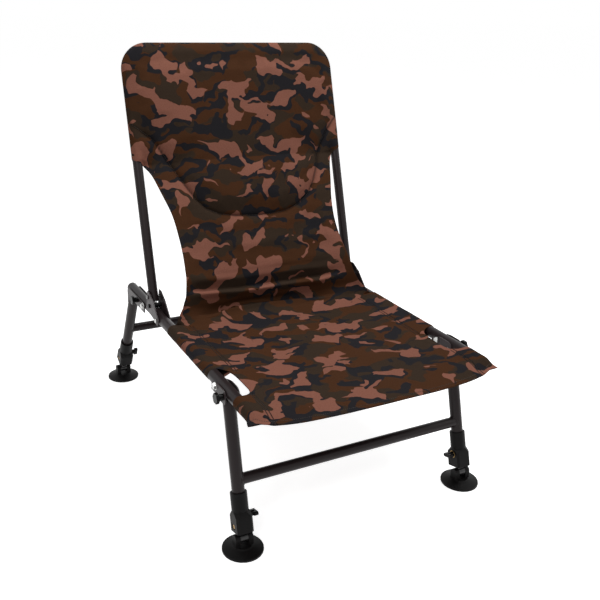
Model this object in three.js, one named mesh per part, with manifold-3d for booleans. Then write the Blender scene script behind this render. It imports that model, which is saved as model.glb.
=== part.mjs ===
// Low folding carp fishing chair: two side rails, a front and a rear leg frame that fold on
// plate brackets, a tube backrest that folds forward, one cover over seat and back, and four
// telescopic legs on swivelling feet. Millimetres. +X is to the right seen from the front,
// +Y is to the rear, +Z is up. Left and right are named as seen from the front.
import * as THREE from "three";
import { mergeVertices } from "three/addons/utils/BufferGeometryUtils.js";
import Module from "manifold-3d";

const wasm = await Module();
wasm.setup();

// Fits and facets
const clearance = 0.3;
const cutOverrun = 2;
const mergeTolerance = 1e-4;
const tubeSides = 16;
const smallSides = 12;
const hexSides = 6;
const bendSteps = 7;
const holeCurve = 6;

// Seat rails
const frameSpacing = 524;
const railDiameter = 25;
const tubeWall = 1.5;
const railHeight = 301;
const railFrontY = -18;
const railRearY = 678;
const plugRim = 3;
const plugDome = 4;
const plugDepth = 18;

// Legs: splay angles in degrees from upright, and reach from the pivot to the leg's axis at rail height
const legDiameter = 25;
const crossBarDiameter = 22;
const frontSplayAngle = 15.3;
const rearSplayAngle = 26.5;
const frontLegReach = 25.8;
const rearLegReach = 109.9;
const frontBarAlongLeg = 112.5;
const rearBarAlongLeg = 162.5;

// Leg brackets: plates that straddle the rail and hold the leg's top
const plateThickness = 2.5;
const frontPivotY = 107;
const rearPivotY = 548;
const frontBracketTip = 18;
const rearBracketTip = 10;
const bracketTipRise = 1;
const bracketRampEnd = 8;
const frontBracketRise = 9.5;
const rearBracketRise = 7.5;
const bracketDrop = 14;
const frontTabDrop = 19;
const rearTabDrop = 35;
const bracketCornerRadius = 14;
const frontBracketEnd = 48;
const rearBracketEnd = 125;
const knobAlongBracket = 37;
const frontKnobDrop = 5;
const rearKnobDrop = -3;
const scallopDepth = 1.6;
const scallopPitch = 6;
const scallopCount = 3;

// Bolts and rivets
const boltDiameter = 6;
const boltHeadAcross = 11.5;
const boltHeadHeight = 4.5;
const buttonHeadDiameter = 10;
const buttonHeadHeight = 2.6;

// Star knobs
const studDiameter = 8;
const knobHubDiameter = 13;
const knobHubLength = 9.5;
const knobHeadDiameter = 22;
const knobHeadThickness = 6.5;
const knobLobes = 6;
const knobLobeDepth = 1.4;
const knobPointsPerLobe = 6;

// Backrest, measured along its tubes from the pivot; the tubes stand against the outer plates
const backPivotY = 450;
const backLeanAngle = 17.4;
const backTubeDiameter = 22;
const backTubeOffset = 43.2;
const backTubeFoot = 41;
const backTubeBoltAlong = 52;
const bowAlongTube = 623;
const bowBendRadius = 52;
const bowLegLength = 20;
const spigotLength = 25;
const spigotClearance = 0.3;
const stopSpacerDiameter = 11;
const stopSpacerY = 497;

// Backrest plates, as distances from the pivot
const backPlateTip = 13;
const backPlateTipRise = 4;
const backPlateTipDrop = 11;
const backPlateBelly = 18;
const backPlateBellyDrop = 3;
const backPlateHeel = 71;
const backPlateHeelRise = 5;
const backPlateShoulder = 22;
const backPlateShoulderRise = 37;
const backPlateTop = 51;
const backPlateTopFront = 49;
const backPlateTopRear = 61;

// Leg adjusters, measured up the leg from the foot hinge
const adjusterFoot = 14;
const adjusterShoulder = 45;
const adjusterBodyTop = 53;
const adjusterTop = 90;
const adjusterWidth = 34;
const adjusterDepth = 38;
const adjusterForward = 1.5;
const adjusterCorner = 4;
const adjusterWall = 3.6;
const adjusterLegSeat = 47;
const screwAlongLeg = 42;
const windowAlongLeg = 25;
const windowHeight = 9;
const windowWidth = 13;
const windowDepth = 3;
const wingHubDiameter = 12;
const wingHubLength = 6.5;
const wingLength = 24;
const wingHeight = 8;
const wingThickness = 8.5;
const screwDiameter = 6;
const frontWingAngle = 0;
const rearWingAngle = 90;

// Inner legs
const extensionDiameter = 19;
const extensionWall = 1.3;
const extensionFoot = 10.2;
const extensionLength = 185;
const frontLegOut = 0;
const rearLegOut = 20;
const extensionPlug = 14;
const tongueDiameter = 17;
const tongueWidth = 16;

// Feet
const footHingeHeight = 26;
const footDiameter = 81;
const footRim = 4.5;
const footConeRise = 9;
const footConeDiameter = 44;
const footHubRise = 12;
const footHubDiameter = 36;
const footEarThickness = 10;
const footEarDiameter = 18.6;
const footPinDiameter = 6;

// Cover
const clothThickness = 3.6;
const sleeveWall = 1.6;
const hemCornerY = -48;
const hemBow = 19.5;
const hemBowPower = 7;
const hemHalfWidth = 20;
const hemThickness = 5;
const hemDrop = 16;
const hemSag = 8;
const seatSag = 20;
const cutoutFrontY = 31;
const cutoutRearY = 152;
const cutoutDepth = 33;
const cutoutRadius = 30;
const sleeveRearY = 386;
const stitchFromRail = 45;
const seatSlingFootY = 380;
const pocketFoot = 354;
const coverSplitRise = 48;
const slackBack = 46;
const slackDrop = 31;
const pocketPanelThickness = 9;
const padHalfWidth = 226;
const padTop = 605;
const padCornerRadius = 150;
const padTopRadius = 40;
const padRise = 5;
const padBevel = 9;
const seatRowYShares = [0.06, 0.14, 0.26, 0.4, 0.52, 0.66, 0.8, 0.92];
const coverColumnShares = [-1, -0.93, -0.84, -0.7, -0.53, -0.36, -0.18, 0, 0.18, 0.36, 0.53, 0.7, 0.84, 0.93, 1];
// Edge of the cloth between seat and pocket: run, rise, half width, slack back, slack drop.
const slingShares = [
  [0.0, 0.0, 0.971, 0.5, 0.71],
  [0.028, 0.027, 0.944, 0.8, 0.84],
  [0.065, 0.055, 0.915, 0.97, 0.93],
  [0.092, 0.085, 0.884, 1.03, 1.0],
  [0.112, 0.12, 0.864, 0.9, 0.6],
  [0.132, 0.16, 0.842, 0.87, 0.4],
  [0.161, 0.21, 0.827, 0.95, 0.34],
  [0.195, 0.26, 0.817, 0.82, 0.28],
  [0.235, 0.303, 0.808, 0.72, 0.26],
  [0.378, 0.422, 0.789, 0.55, 0.22],
  [0.512, 0.547, 0.789, 0.42, 0.18],
  [0.631, 0.679, 0.808, 0.3, 0.14],
  [0.765, 0.811, 0.857, 0.12, 0.06],
  [0.908, 0.94, 0.91, -0.08, -0.03],
  [1.0, 1.0, 0.964, -0.22, -0.1],
  [1.02, 1.03, 0.975, -0.22, -0.1],
];

// Values worked out from the ones above
const railX = frameSpacing / 2;
const coverSplitHeight = railHeight + coverSplitRise;
const railRadius = railDiameter / 2;
const legRadius = legDiameter / 2;
const barRadius = crossBarDiameter / 2;
const boltRadius = boltDiameter / 2;
const boltHoleRadius = boltRadius + clearance;
const plateInner = railRadius + clearance;
const plateOuter = plateInner + plateThickness;
const headSeat = plateOuter + clearance;
const sleeveRadius = railRadius + clearance + sleeveWall;
const backTubeRadius = backTubeDiameter / 2;
const backX = railX + plateInner - clearance - backTubeRadius;
const backSleeveRadius = backTubeRadius + clearance + sleeveWall;
const lean = THREE.MathUtils.degToRad(backLeanAngle);
const adjusterBore = legRadius + clearance;
const adjusterSleeveRadius = adjusterBore + adjusterWall;
const extensionRadius = extensionDiameter / 2;
const footPinRadius = footPinDiameter / 2;

// Finishes
function finish(color, roughness, metalness) {
  return () => new THREE.MeshStandardMaterial({ color, roughness, metalness });
}
const powderCoat = finish(0x4c4547, 0.45, 0.5);
const plateCoat = finish(0x5b5355, 0.5, 0.5);
const blackPlastic = finish(0x1b1a1b, 0.5, 0);
const brightSteel = finish(0xc9c9c8, 0.25, 1);
const cloth = finish(0x4a3226, 0.95, 0);

// Solid helpers
function toSolid(geometry) {
  const plain = geometry.clone();
  plain.deleteAttribute("normal");
  plain.deleteAttribute("uv");
  const merged = mergeVertices(plain, mergeTolerance);
  const vertProperties = new Float32Array(merged.attributes.position.array);
  const triVerts = new Uint32Array(merged.index.array);
  return new wasm.Manifold(new wasm.Mesh({ numProp: 3, vertProperties, triVerts }));
}

function toGeometry(solid) {
  const made = solid.getMesh();
  const geometry = new THREE.BufferGeometry();
  geometry.setAttribute("position", new THREE.BufferAttribute(made.vertProperties, made.numProp));
  geometry.setIndex(new THREE.BufferAttribute(made.triVerts, 1));
  geometry.computeVertexNormals();
  return geometry;
}

// The first geometry joined with others and cut by a last list.
function combined(joined, cuts = []) {
  let solid = toSolid(joined[0]);
  for (const extra of joined.slice(1)) solid = solid.add(toSolid(extra));
  for (const cut of cuts) solid = solid.subtract(toSolid(cut));
  return toGeometry(solid);
}

function mesh(name, geometry, material) {
  const made = new THREE.Mesh(geometry, material());
  made.name = name;
  return made;
}

// Rods between two places along one axis, centred on that axis
function rodAlongY(radius, from, to, sides = tubeSides) {
  return new THREE.CylinderGeometry(radius, radius, to - from, sides).translate(0, (from + to) / 2, 0);
}

function rodAlongX(radius, from, to, sides = tubeSides) {
  return rodAlongY(radius, from, to, sides).rotateZ(-Math.PI / 2);
}

function rodAlongZ(radius, from, to, sides = tubeSides) {
  return rodAlongY(radius, from, to, sides).rotateX(Math.PI / 2);
}

function tubeAlongZ(outer, inner, from, to) {
  return combined([rodAlongZ(outer, from, to)], [rodAlongZ(inner, from - cutOverrun, to + cutOverrun)]);
}

function boxBetween(low, high) {
  const size = high.clone().sub(low);
  const middle = high.clone().add(low).multiplyScalar(1 / 2);
  return new THREE.BoxGeometry(size.x, size.y, size.z).translate(middle.x, middle.y, middle.z);
}

// A plate in the YZ plane, from x = 0 to its thickness
function sidePlate(shape, thickness) {
  const basis = new THREE.Matrix4().makeBasis(
    new THREE.Vector3(0, 1, 0),
    new THREE.Vector3(0, 0, 1),
    new THREE.Vector3(1, 0, 0),
  );
  const options = { depth: thickness, bevelEnabled: false, curveSegments: holeCurve };
  return new THREE.ExtrudeGeometry(shape, options).applyMatrix4(basis);
}

// A shape through points, always counter-clockwise so that its holes are clockwise to it
function outline(points) {
  const corners = points.map(([along, up]) => new THREE.Vector2(along, up));
  if (THREE.ShapeUtils.isClockWise(corners)) corners.reverse();
  return new THREE.Shape(corners);
}

function roundHole(shape, along, up, radius) {
  const hole = new THREE.Path();
  hole.absarc(along, up, radius, 0, 2 * Math.PI, true);
  shape.holes.push(hole);
}

function solidFrom(points, triangles) {
  const geometry = new THREE.BufferGeometry();
  geometry.setFromPoints(points);
  geometry.setIndex(triangles);
  return geometry;
}

// A closed body through rings that advance along +Y or +Z, each with the same count of points
function loft(rings, turn = 1) {
  const count = rings[0].length;
  const points = rings.flat();
  const centre = (ring) => ring.reduce((sum, p) => sum.add(p), new THREE.Vector3()).divideScalar(count);
  const first = points.push(centre(rings[0])) - 1;
  const last = points.push(centre(rings[rings.length - 1])) - 1;
  const triangles = [];
  const face = (a, b, c) => triangles.push(...(turn > 0 ? [a, b, c] : [a, c, b]));
  for (let k = 0; k < count; k += 1) {
    const next = (k + 1) % count;
    for (let r = 0; r + 1 < rings.length; r += 1) {
      face(r * count + k, (r + 1) * count + k, (r + 1) * count + next);
      face(r * count + k, (r + 1) * count + next, r * count + next);
    }
    const end = (rings.length - 1) * count;
    face(first, k, next);
    face(last, end + next, end + k);
  }
  return solidFrom(points, triangles);
}

// A sheet of cloth: rows of points on its face, thickened away from the face
function sheet(rows, thickness) {
  const high = rows.length;
  const wide = rows[0].length;
  const back = rows.map((row, i) =>
    row.map((point, j) => {
      const across = row[Math.min(j + 1, wide - 1)].clone().sub(row[Math.max(j - 1, 0)]);
      const along = rows[Math.min(i + 1, high - 1)][j].clone().sub(rows[Math.max(i - 1, 0)][j]);
      return point.clone().addScaledVector(across.cross(along).normalize(), -thickness);
    }),
  );
  const points = [...rows.flat(), ...back.flat()];
  const under = high * wide;
  const triangles = [];
  const quad = (a, b, c, d) => triangles.push(a, b, c, a, c, d);
  for (let i = 0; i + 1 < high; i += 1) {
    for (let j = 0; j + 1 < wide; j += 1) {
      const a = i * wide + j;
      quad(a, a + 1, a + wide + 1, a + wide);
      quad(under + a, under + a + wide, under + a + wide + 1, under + a + 1);
    }
    const left = i * wide;
    const right = left + wide - 1;
    quad(left, left + wide, under + left + wide, under + left);
    quad(right, under + right, under + right + wide, right + wide);
  }
  for (let j = 0; j + 1 < wide; j += 1) {
    const rear = (high - 1) * wide + j;
    quad(j, under + j, under + j + 1, j + 1);
    quad(rear, rear + 1, under + rear + 1, under + rear);
  }
  return solidFrom(points, triangles);
}

// Seat rails and their plugs
function seatRail() {
  const bore = railRadius - tubeWall;
  const holes = [frontPivotY, backPivotY, rearPivotY].map((y) =>
    rodAlongX(boltHoleRadius, -railRadius - cutOverrun, railRadius + cutOverrun, smallSides).translate(0, y, 0),
  );
  return combined(
    [rodAlongY(railRadius, railFrontY, railRearY)],
    [rodAlongY(bore, railFrontY - cutOverrun, railRearY + cutOverrun), ...holes],
  );
}

// Plug with its stem along +Y and its rim from y = 0 back to -plugRim, domed outward
function railPlug() {
  const stem = railRadius - tubeWall - clearance;
  const profile = [
    [0, plugDepth],
    [stem, plugDepth],
    [stem, clearance],
    [railRadius, clearance],
    [railRadius, -plugRim],
    [(railRadius + stem) / 2, -plugRim - plugDome / 2],
    [0, -plugRim - plugDome],
  ].map(([radius, along]) => new THREE.Vector2(radius, -along));
  return new THREE.LatheGeometry(profile, tubeSides).rotateX(Math.PI);
}

// Leg brackets
// Outline with the pivot bolt at (0, 0); reach grows towards the leg, whose axis crosses it.
function bracketShape(leg) {
  const { splay, legReach, end, tip, rise, tabDrop, knobDrop, towards, scalloped } = leg;
  const halfWide = legRadius / Math.cos(splay);
  const neck = legReach + bracketDrop * Math.tan(splay) - halfWide;
  const tabInner = legReach + tabDrop * Math.tan(splay) - halfWide;
  const tabOuter = Math.min(end, tabInner + 2 * halfWide);
  const points = [
    [-tip, bracketTipRise],
    [bracketRampEnd, rise],
  ];
  for (let k = 0; k <= tubeSides / 4; k += 1) {
    const angle = (Math.PI / 2) * (1 - k / (tubeSides / 4));
    points.push([
      end - bracketCornerRadius + bracketCornerRadius * Math.cos(angle),
      rise - bracketCornerRadius + bracketCornerRadius * Math.sin(angle),
    ]);
  }
  if (scalloped) {
    for (let k = 0; k < scallopCount; k += 1) {
      const top = rise - bracketCornerRadius - k * scallopPitch;
      points.push([end - scallopDepth, top - scallopPitch / 3], [end, top - (scallopPitch * 2) / 3]);
    }
  } else {
    points.push([end, -bracketDrop]);
  }
  points.push([tabOuter, -tabDrop], [tabInner, -tabDrop]);
  points.push([neck, -bracketDrop], [-tip, -bracketDrop]);
  const shape = outline(points.map(([reach, up]) => [towards * reach, up]));
  roundHole(shape, 0, 0, boltHoleRadius);
  roundHole(shape, towards * knobAlongBracket, -knobDrop, studDiameter / 2 + clearance);
  return shape;
}

// Hexagon bolt through both plates and the rail, along X
function hexBolt(reach) {
  const headRadius = boltHeadAcross / 2 / Math.cos(Math.PI / hexSides);
  return combined([
    rodAlongX(boltRadius, -reach - boltHeadHeight, reach + boltHeadHeight, smallSides),
    rodAlongX(headRadius, -reach - boltHeadHeight, -reach, hexSides),
    rodAlongX(headRadius, reach, reach + boltHeadHeight, hexSides),
  ]);
}

function buttonBolt(reach, shankRadius) {
  const headRadius = buttonHeadDiameter / 2;
  return combined([
    rodAlongX(shankRadius, -reach, reach, smallSides),
    rodAlongX(headRadius, -reach - buttonHeadHeight, -reach, smallSides),
    rodAlongX(headRadius, reach, reach + buttonHeadHeight, smallSides),
  ]);
}

// Star knob along +X from the outer plate, with its stud in the plate's hole
function starKnob() {
  const hubEnd = headSeat + knobHubLength;
  const headEnd = hubEnd + knobHeadThickness;
  const radiusAt = (angle) => knobHeadDiameter / 2 - knobLobeDepth * (1 - Math.cos(knobLobes * angle)) / 2;
  const count = knobLobes * knobPointsPerLobe;
  const rim = Array.from({ length: count }, (_, k) => {
    const angle = (2 * Math.PI * k) / count;
    return [radiusAt(angle) * Math.cos(angle), radiusAt(angle) * Math.sin(angle)];
  });
  const head = sidePlate(outline(rim), knobHeadThickness).translate(hubEnd, 0, 0);
  return combined([
    rodAlongX(studDiameter / 2, plateInner, headEnd, smallSides),
    rodAlongX(knobHubDiameter / 2, headSeat, hubEnd + knobHeadThickness / 2, smallSides),
    head,
  ]);
}

// Legs
function legTube(splay, legOut) {
  const endHeight = railHeight - railRadius - clearance - legRadius * Math.sin(splay);
  const top = (endHeight - footHingeHeight) / Math.cos(splay);
  return tubeAlongZ(legRadius, legRadius - tubeWall, adjusterLegSeat + legOut + clearance, top);
}

// Cross bar coped to both legs
function crossBar(alongLeg) {
  const copes = [-railX, railX].map((x) =>
    rodAlongZ(legRadius + clearance, alongLeg - crossBarDiameter, alongLeg + crossBarDiameter).translate(x, 0, 0),
  );
  const bar = rodAlongX(barRadius, -railX, railX).translate(0, 0, alongLeg);
  const ends = [-1, 1].map((s) => {
    const low = Math.min(s * railX, s * (railX + legDiameter));
    const high = Math.max(s * railX, s * (railX + legDiameter));
    return boxBetween(
      new THREE.Vector3(low, -legDiameter, alongLeg - crossBarDiameter),
      new THREE.Vector3(high, legDiameter, alongLeg + crossBarDiameter),
    );
  });
  return combined([bar], [...copes, ...ends]);
}

// Moulded clamp on a leg's lower end, along +Z, with its screw side towards +X
function legAdjuster() {
  const ring = (halfWide, halfDeep, corner, height, forward) =>
    [
      [halfWide, corner - halfDeep],
      [halfWide, halfDeep - corner],
      [halfWide - corner, halfDeep],
      [corner - halfWide, halfDeep],
      [-halfWide, halfDeep - corner],
      [-halfWide, corner - halfDeep],
      [corner - halfWide, -halfDeep],
      [halfWide - corner, -halfDeep],
    ].map(([x, y]) => new THREE.Vector3(x, y - forward, height));
  const halfWide = adjusterWidth / 2;
  const halfDeep = adjusterDepth / 2;
  const neckCorner = adjusterSleeveRadius * (1 - Math.tan(Math.PI / 8));
  const body = loft(
    [
      ring(halfWide, halfDeep, adjusterCorner, adjusterFoot, adjusterForward),
      ring(halfWide, halfDeep, adjusterCorner, adjusterShoulder, adjusterForward),
      ring(adjusterSleeveRadius, adjusterSleeveRadius, neckCorner, adjusterBodyTop, 0),
    ],
    -1,
  );
  const window = boxBetween(
    new THREE.Vector3(-halfWide - cutOverrun, -windowWidth / 2, windowAlongLeg - windowHeight / 2),
    new THREE.Vector3(-halfWide + windowDepth, windowWidth / 2, windowAlongLeg + windowHeight / 2),
  );
  return combined(
    [body, rodAlongZ(adjusterSleeveRadius, adjusterBodyTop - clearance, adjusterTop)],
    [
      rodAlongZ(adjusterBore, adjusterLegSeat, adjusterTop + cutOverrun),
      rodAlongZ(extensionRadius + clearance, adjusterFoot - cutOverrun, adjusterLegSeat + cutOverrun),
      rodAlongX(screwDiameter / 2 + clearance, 0, halfWide + cutOverrun, smallSides).translate(0, 0, screwAlongLeg),
      window,
    ],
  );
}

// Wing screw along +X, its tip against the inner leg and its wing turned from across the leg
function adjusterScrew(wingAngle) {
  const seat = adjusterWidth / 2 + clearance;
  const hubEnd = seat + wingHubLength;
  const wingEnd = hubEnd + wingThickness;
  const straight = wingLength / 2 - wingHeight / 2;
  const wing = new THREE.Shape();
  wing.absarc(straight, 0, wingHeight / 2, -Math.PI / 2, Math.PI / 2, false);
  wing.absarc(-straight, 0, wingHeight / 2, Math.PI / 2, Math.PI * 1.5, false);
  return combined([
    rodAlongX(screwDiameter / 2, extensionRadius + clearance, wingEnd - clearance, smallSides),
    rodAlongX(wingHubDiameter / 2, seat, hubEnd + wingThickness / 2, smallSides),
    sidePlate(wing, wingThickness).rotateX(THREE.MathUtils.degToRad(wingAngle)).translate(hubEnd, 0, 0),
  ]).translate(0, 0, screwAlongLeg);
}

// Inner leg with the tongue that the foot hinges on
function legExtension() {
  const top = extensionFoot + extensionLength;
  const bore = extensionRadius - extensionWall;
  return combined(
    [
      rodAlongZ(extensionRadius, extensionFoot, top),
      rodAlongX(tongueDiameter / 2, -tongueWidth / 2, tongueWidth / 2),
      boxBetween(
        new THREE.Vector3(-tongueWidth / 2, -tongueDiameter / 4, 0),
        new THREE.Vector3(tongueWidth / 2, tongueDiameter / 4, extensionFoot + clearance),
      ),
    ],
    [
      rodAlongZ(bore, extensionFoot + extensionPlug, top + cutOverrun),
      rodAlongX(footPinRadius + clearance, -tongueWidth, tongueWidth, smallSides),
    ],
  );
}

// Round foot with two ears and the hinge pin
function foot() {
  const profile = [
    [0, 0],
    [footDiameter / 2, 0],
    [footDiameter / 2, footRim],
    [footConeDiameter / 2, footConeRise],
    [footHubDiameter / 2, footHubRise],
    [0, footHubRise],
  ].map(([radius, height]) => new THREE.Vector2(radius, height));
  const disc = new THREE.LatheGeometry(profile, 2 * smallSides).rotateX(Math.PI / 2);
  const earRadius = footEarDiameter / 2;
  const earSeat = tongueWidth / 2 + clearance;
  const ear = new THREE.Shape();
  ear.moveTo(-earRadius, footRim);
  ear.lineTo(earRadius, footRim);
  ear.lineTo(earRadius, footHingeHeight);
  ear.absarc(0, footHingeHeight, earRadius, 0, Math.PI, false);
  ear.lineTo(-earRadius, footRim);
  const ears = [earSeat, -earSeat - footEarThickness].map((x) => sidePlate(ear, footEarThickness).translate(x, 0, 0));
  const pin = rodAlongX(footPinRadius, -earSeat - footEarThickness / 2, earSeat + footEarThickness / 2, smallSides);
  return combined([disc, ...ears, pin.translate(0, 0, footHingeHeight)]);
}

// Backrest pieces in the backrest's own frame: pivot at the origin, +Z up the tubes, +Y rearward
function backTube() {
  const top = bowAlongTube - bowBendRadius - bowLegLength;
  const bolt = rodAlongX(boltHoleRadius, -backTubeDiameter, backTubeDiameter, smallSides);
  return combined(
    [rodAlongZ(backTubeRadius, backTubeFoot, top)],
    [
      rodAlongZ(backTubeRadius - tubeWall, backTubeFoot - cutOverrun, top + cutOverrun),
      bolt.translate(0, 0, backTubeBoltAlong),
    ],
  );
}

// Tube along the hoop, from one foot up over both bends and down to the other foot
function hoop(radius, footHeight, sides) {
  const low = bowAlongTube - bowBendRadius;
  const stops = [[-backX, footHeight, Math.PI]];
  for (const [s, from] of [[-1, Math.PI], [1, Math.PI / 2]]) {
    for (let k = 0; k <= bendSteps; k += 1) {
      const angle = from - (Math.PI / 2) * (k / bendSteps);
      const x = s * (backX - bowBendRadius) + bowBendRadius * Math.cos(angle);
      stops.push([x, low + bowBendRadius * Math.sin(angle), angle]);
    }
  }
  stops.push([backX, footHeight, 0]);
  const rings = stops.map(([x, z, angle]) =>
    Array.from({ length: sides }, (_, k) => {
      const around = (2 * Math.PI * k) / sides;
      const out = radius * Math.cos(around);
      return new THREE.Vector3(x + out * Math.cos(angle), radius * Math.sin(around), z + out * Math.sin(angle));
    }),
  );
  return loft(rings);
}

function topBow() {
  const start = bowAlongTube - bowBendRadius - bowLegLength;
  const radius = backTubeRadius - tubeWall - spigotClearance;
  const spigots = [-backX, backX].map((x) =>
    rodAlongZ(radius, start - spigotLength, start + bowLegLength / 2).translate(x, 0, 0),
  );
  return combined([hoop(backTubeRadius, start + clearance, tubeSides), ...spigots]);
}

function backPlateShape() {
  const points = [
    [-backPlateTip, backPlateTipRise],
    [-backPlateTip / 2, -backPlateTipDrop],
    [backPlateBelly, -backPlateBellyDrop],
    [backPlateHeel, backPlateHeelRise],
    [backPlateTopRear, backPlateTop],
    [backPlateTopFront, backPlateTop],
    [backPlateShoulder, backPlateShoulderRise],
  ];
  const shape = outline(points);
  roundHole(shape, 0, 0, boltHoleRadius);
  const bolt = backPoint(backTubeBoltAlong);
  roundHole(shape, bolt.y - backPivotY, bolt.z - railHeight, boltHoleRadius);
  roundHole(shape, stopSpacerY - backPivotY, stopHeight() - railHeight, boltHoleRadius);
  return shape;
}

function stopHeight() {
  return railHeight + railRadius + clearance + stopSpacerDiameter / 2;
}

// A point on the back tubes' centre plane, or behind it, in the chair's frame
function backPoint(along, behind = 0) {
  const offset = backTubeOffset + behind;
  return new THREE.Vector3(
    0,
    backPivotY + offset * Math.cos(lean) + along * Math.sin(lean),
    railHeight - offset * Math.sin(lean) + along * Math.cos(lean),
  );
}

function stopBolt() {
  const spacer = rodAlongX(stopSpacerDiameter / 2, clearance - plateInner, plateInner - clearance, smallSides);
  return combined([buttonBolt(headSeat, boltRadius), spacer]);
}

// Cover
// Face point of the sling between sleeves and pocket, across from -1 to 1
function slingPoint(across, [run, rise, wide, back, drop]) {
  const foot = new THREE.Vector3(0, seatSlingFootY, railHeight + sleeveRadius);
  const head = backPoint(pocketFoot);
  const middle = 1 - Math.abs(across) ** 3;
  return new THREE.Vector3(
    across * wide * railX,
    foot.y + run * (head.y - foot.y) + back * slackBack * middle,
    foot.z + rise * (head.z - foot.z) - drop * slackDrop * middle,
  );
}

function seatPoint(across, share) {
  const hemY = hemCornerY - hemBow * (1 - Math.abs(across) ** hemBowPower);
  const lift = Math.min(1, share / seatRowYShares[1]);
  const edge = railHeight + sleeveRadius - hemDrop * (1 - lift);
  const sag = hemSag + (seatSag - hemSag) * lift;
  return new THREE.Vector3(
    across * railX,
    hemY + share * (seatSlingFootY - hemY),
    edge - sag * (1 - Math.abs(across) ** 3),
  );
}

function coverSheet() {
  const seat = [0, ...seatRowYShares].map((share) => coverColumnShares.map((s) => seatPoint(s, share)));
  const sling = slingShares.map((row) => coverColumnShares.map((s) => slingPoint(s, row)));
  return sheet([...seat, ...sling], clothThickness);
}

// Sleeve round a rail, pressed flat where it runs on past the rail's front end
function seatSleeve(x) {
  const ring = (halfWide, halfHigh, y, height) =>
    Array.from({ length: tubeSides }, (_, k) => {
      const angle = (2 * Math.PI * k) / tubeSides;
      return new THREE.Vector3(x + halfWide * Math.cos(angle), y, height + halfHigh * Math.sin(angle));
    });
  const flatHeight = railHeight + sleeveRadius - hemDrop - hemThickness / 2;
  return loft([
    ring(hemHalfWidth, hemThickness / 2, hemCornerY, flatHeight),
    ring(sleeveRadius, sleeveRadius, railFrontY - plugRim - plugDome - clearance, railHeight),
    ring(sleeveRadius, sleeveRadius, sleeveRearY, railHeight),
  ]);
}

// Lower layer between a sleeve and its stitch line
function sleeveWeb(toward) {
  const section = new THREE.Shape();
  const stitch = railX - stitchFromRail;
  section.moveTo(stitch, railHeight + sleeveRadius / 4);
  section.lineTo(railX - sleeveRadius / 2, railHeight - (sleeveRadius * 3) / 4);
  section.lineTo(railX - sleeveRadius / 2, railHeight + (sleeveRadius * 3) / 4);
  section.lineTo(stitch, railHeight + sleeveRadius / 2);
  const from = railFrontY;
  const options = { depth: sleeveRearY - from, bevelEnabled: false };
  const web = new THREE.ExtrudeGeometry(section, options).rotateX(Math.PI / 2).translate(0, sleeveRearY, 0);
  return toward > 0 ? web : web.rotateZ(Math.PI).translate(0, sleeveRearY + from, 0);
}

function cutout(toward) {
  const inner = railX - cutoutDepth;
  const outer = railX + 2 * sleeveRadius;
  const shape = new THREE.Shape();
  shape.moveTo(outer, cutoutFrontY);
  shape.lineTo(outer, cutoutRearY);
  shape.lineTo(inner + cutoutRadius, cutoutRearY);
  shape.absarc(inner + cutoutRadius, cutoutRearY - cutoutRadius, cutoutRadius, Math.PI / 2, Math.PI, false);
  shape.absarc(inner + cutoutRadius, cutoutFrontY + cutoutRadius, cutoutRadius, Math.PI, Math.PI * 1.5, false);
  shape.closePath();
  const depth = 4 * sleeveRadius;
  const options = { depth, bevelEnabled: false, curveSegments: hexSides };
  const cut = new THREE.ExtrudeGeometry(shape, options).translate(0, 0, railHeight - depth / 2);
  return toward > 0 ? cut : cut.rotateZ(Math.PI).translate(0, cutoutFrontY + cutoutRearY, 0);
}

function seatCover(whole) {
  const half = clearance / 2;
  const reach = frameSpacing;
  const above = boxBetween(
    new THREE.Vector3(-reach, seatSlingFootY - seatSag, coverSplitHeight - half),
    new THREE.Vector3(reach, seatSlingFootY + reach, coverSplitHeight + reach),
  );
  const bores = [-railX, railX].map((x) =>
    rodAlongY(railRadius + clearance, railFrontY - plugRim - plugDome - clearance, sleeveRearY + reach)
      .translate(x, 0, railHeight),
  );
  return combined(
    [whole, seatSleeve(-railX), seatSleeve(railX), sleeveWeb(-1), sleeveWeb(1)],
    [above, ...bores, cutout(-1), cutout(1)],
  );
}

// From the back tubes' own frame to the chair's
function leaned(geometry) {
  return geometry.translate(0, backTubeOffset, 0).rotateX(-lean).translate(0, backPivotY, railHeight);
}

function lowerBackCover(whole) {
  const half = clearance / 2;
  const reach = frameSpacing;
  const below = boxBetween(
    new THREE.Vector3(-reach, -reach, coverSplitHeight - reach),
    new THREE.Vector3(reach, 2 * reach, coverSplitHeight + half),
  );
  const above = boxBetween(
    new THREE.Vector3(-reach, -reach, pocketFoot - clearance),
    new THREE.Vector3(reach, reach, pocketFoot + reach),
  );
  const tubes = [-backX, backX].map((x) =>
    leaned(rodAlongZ(backTubeRadius + clearance, 0, bowAlongTube).translate(x, 0, 0)),
  );
  return combined([whole], [below, leaned(above), ...tubes]);
}

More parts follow.
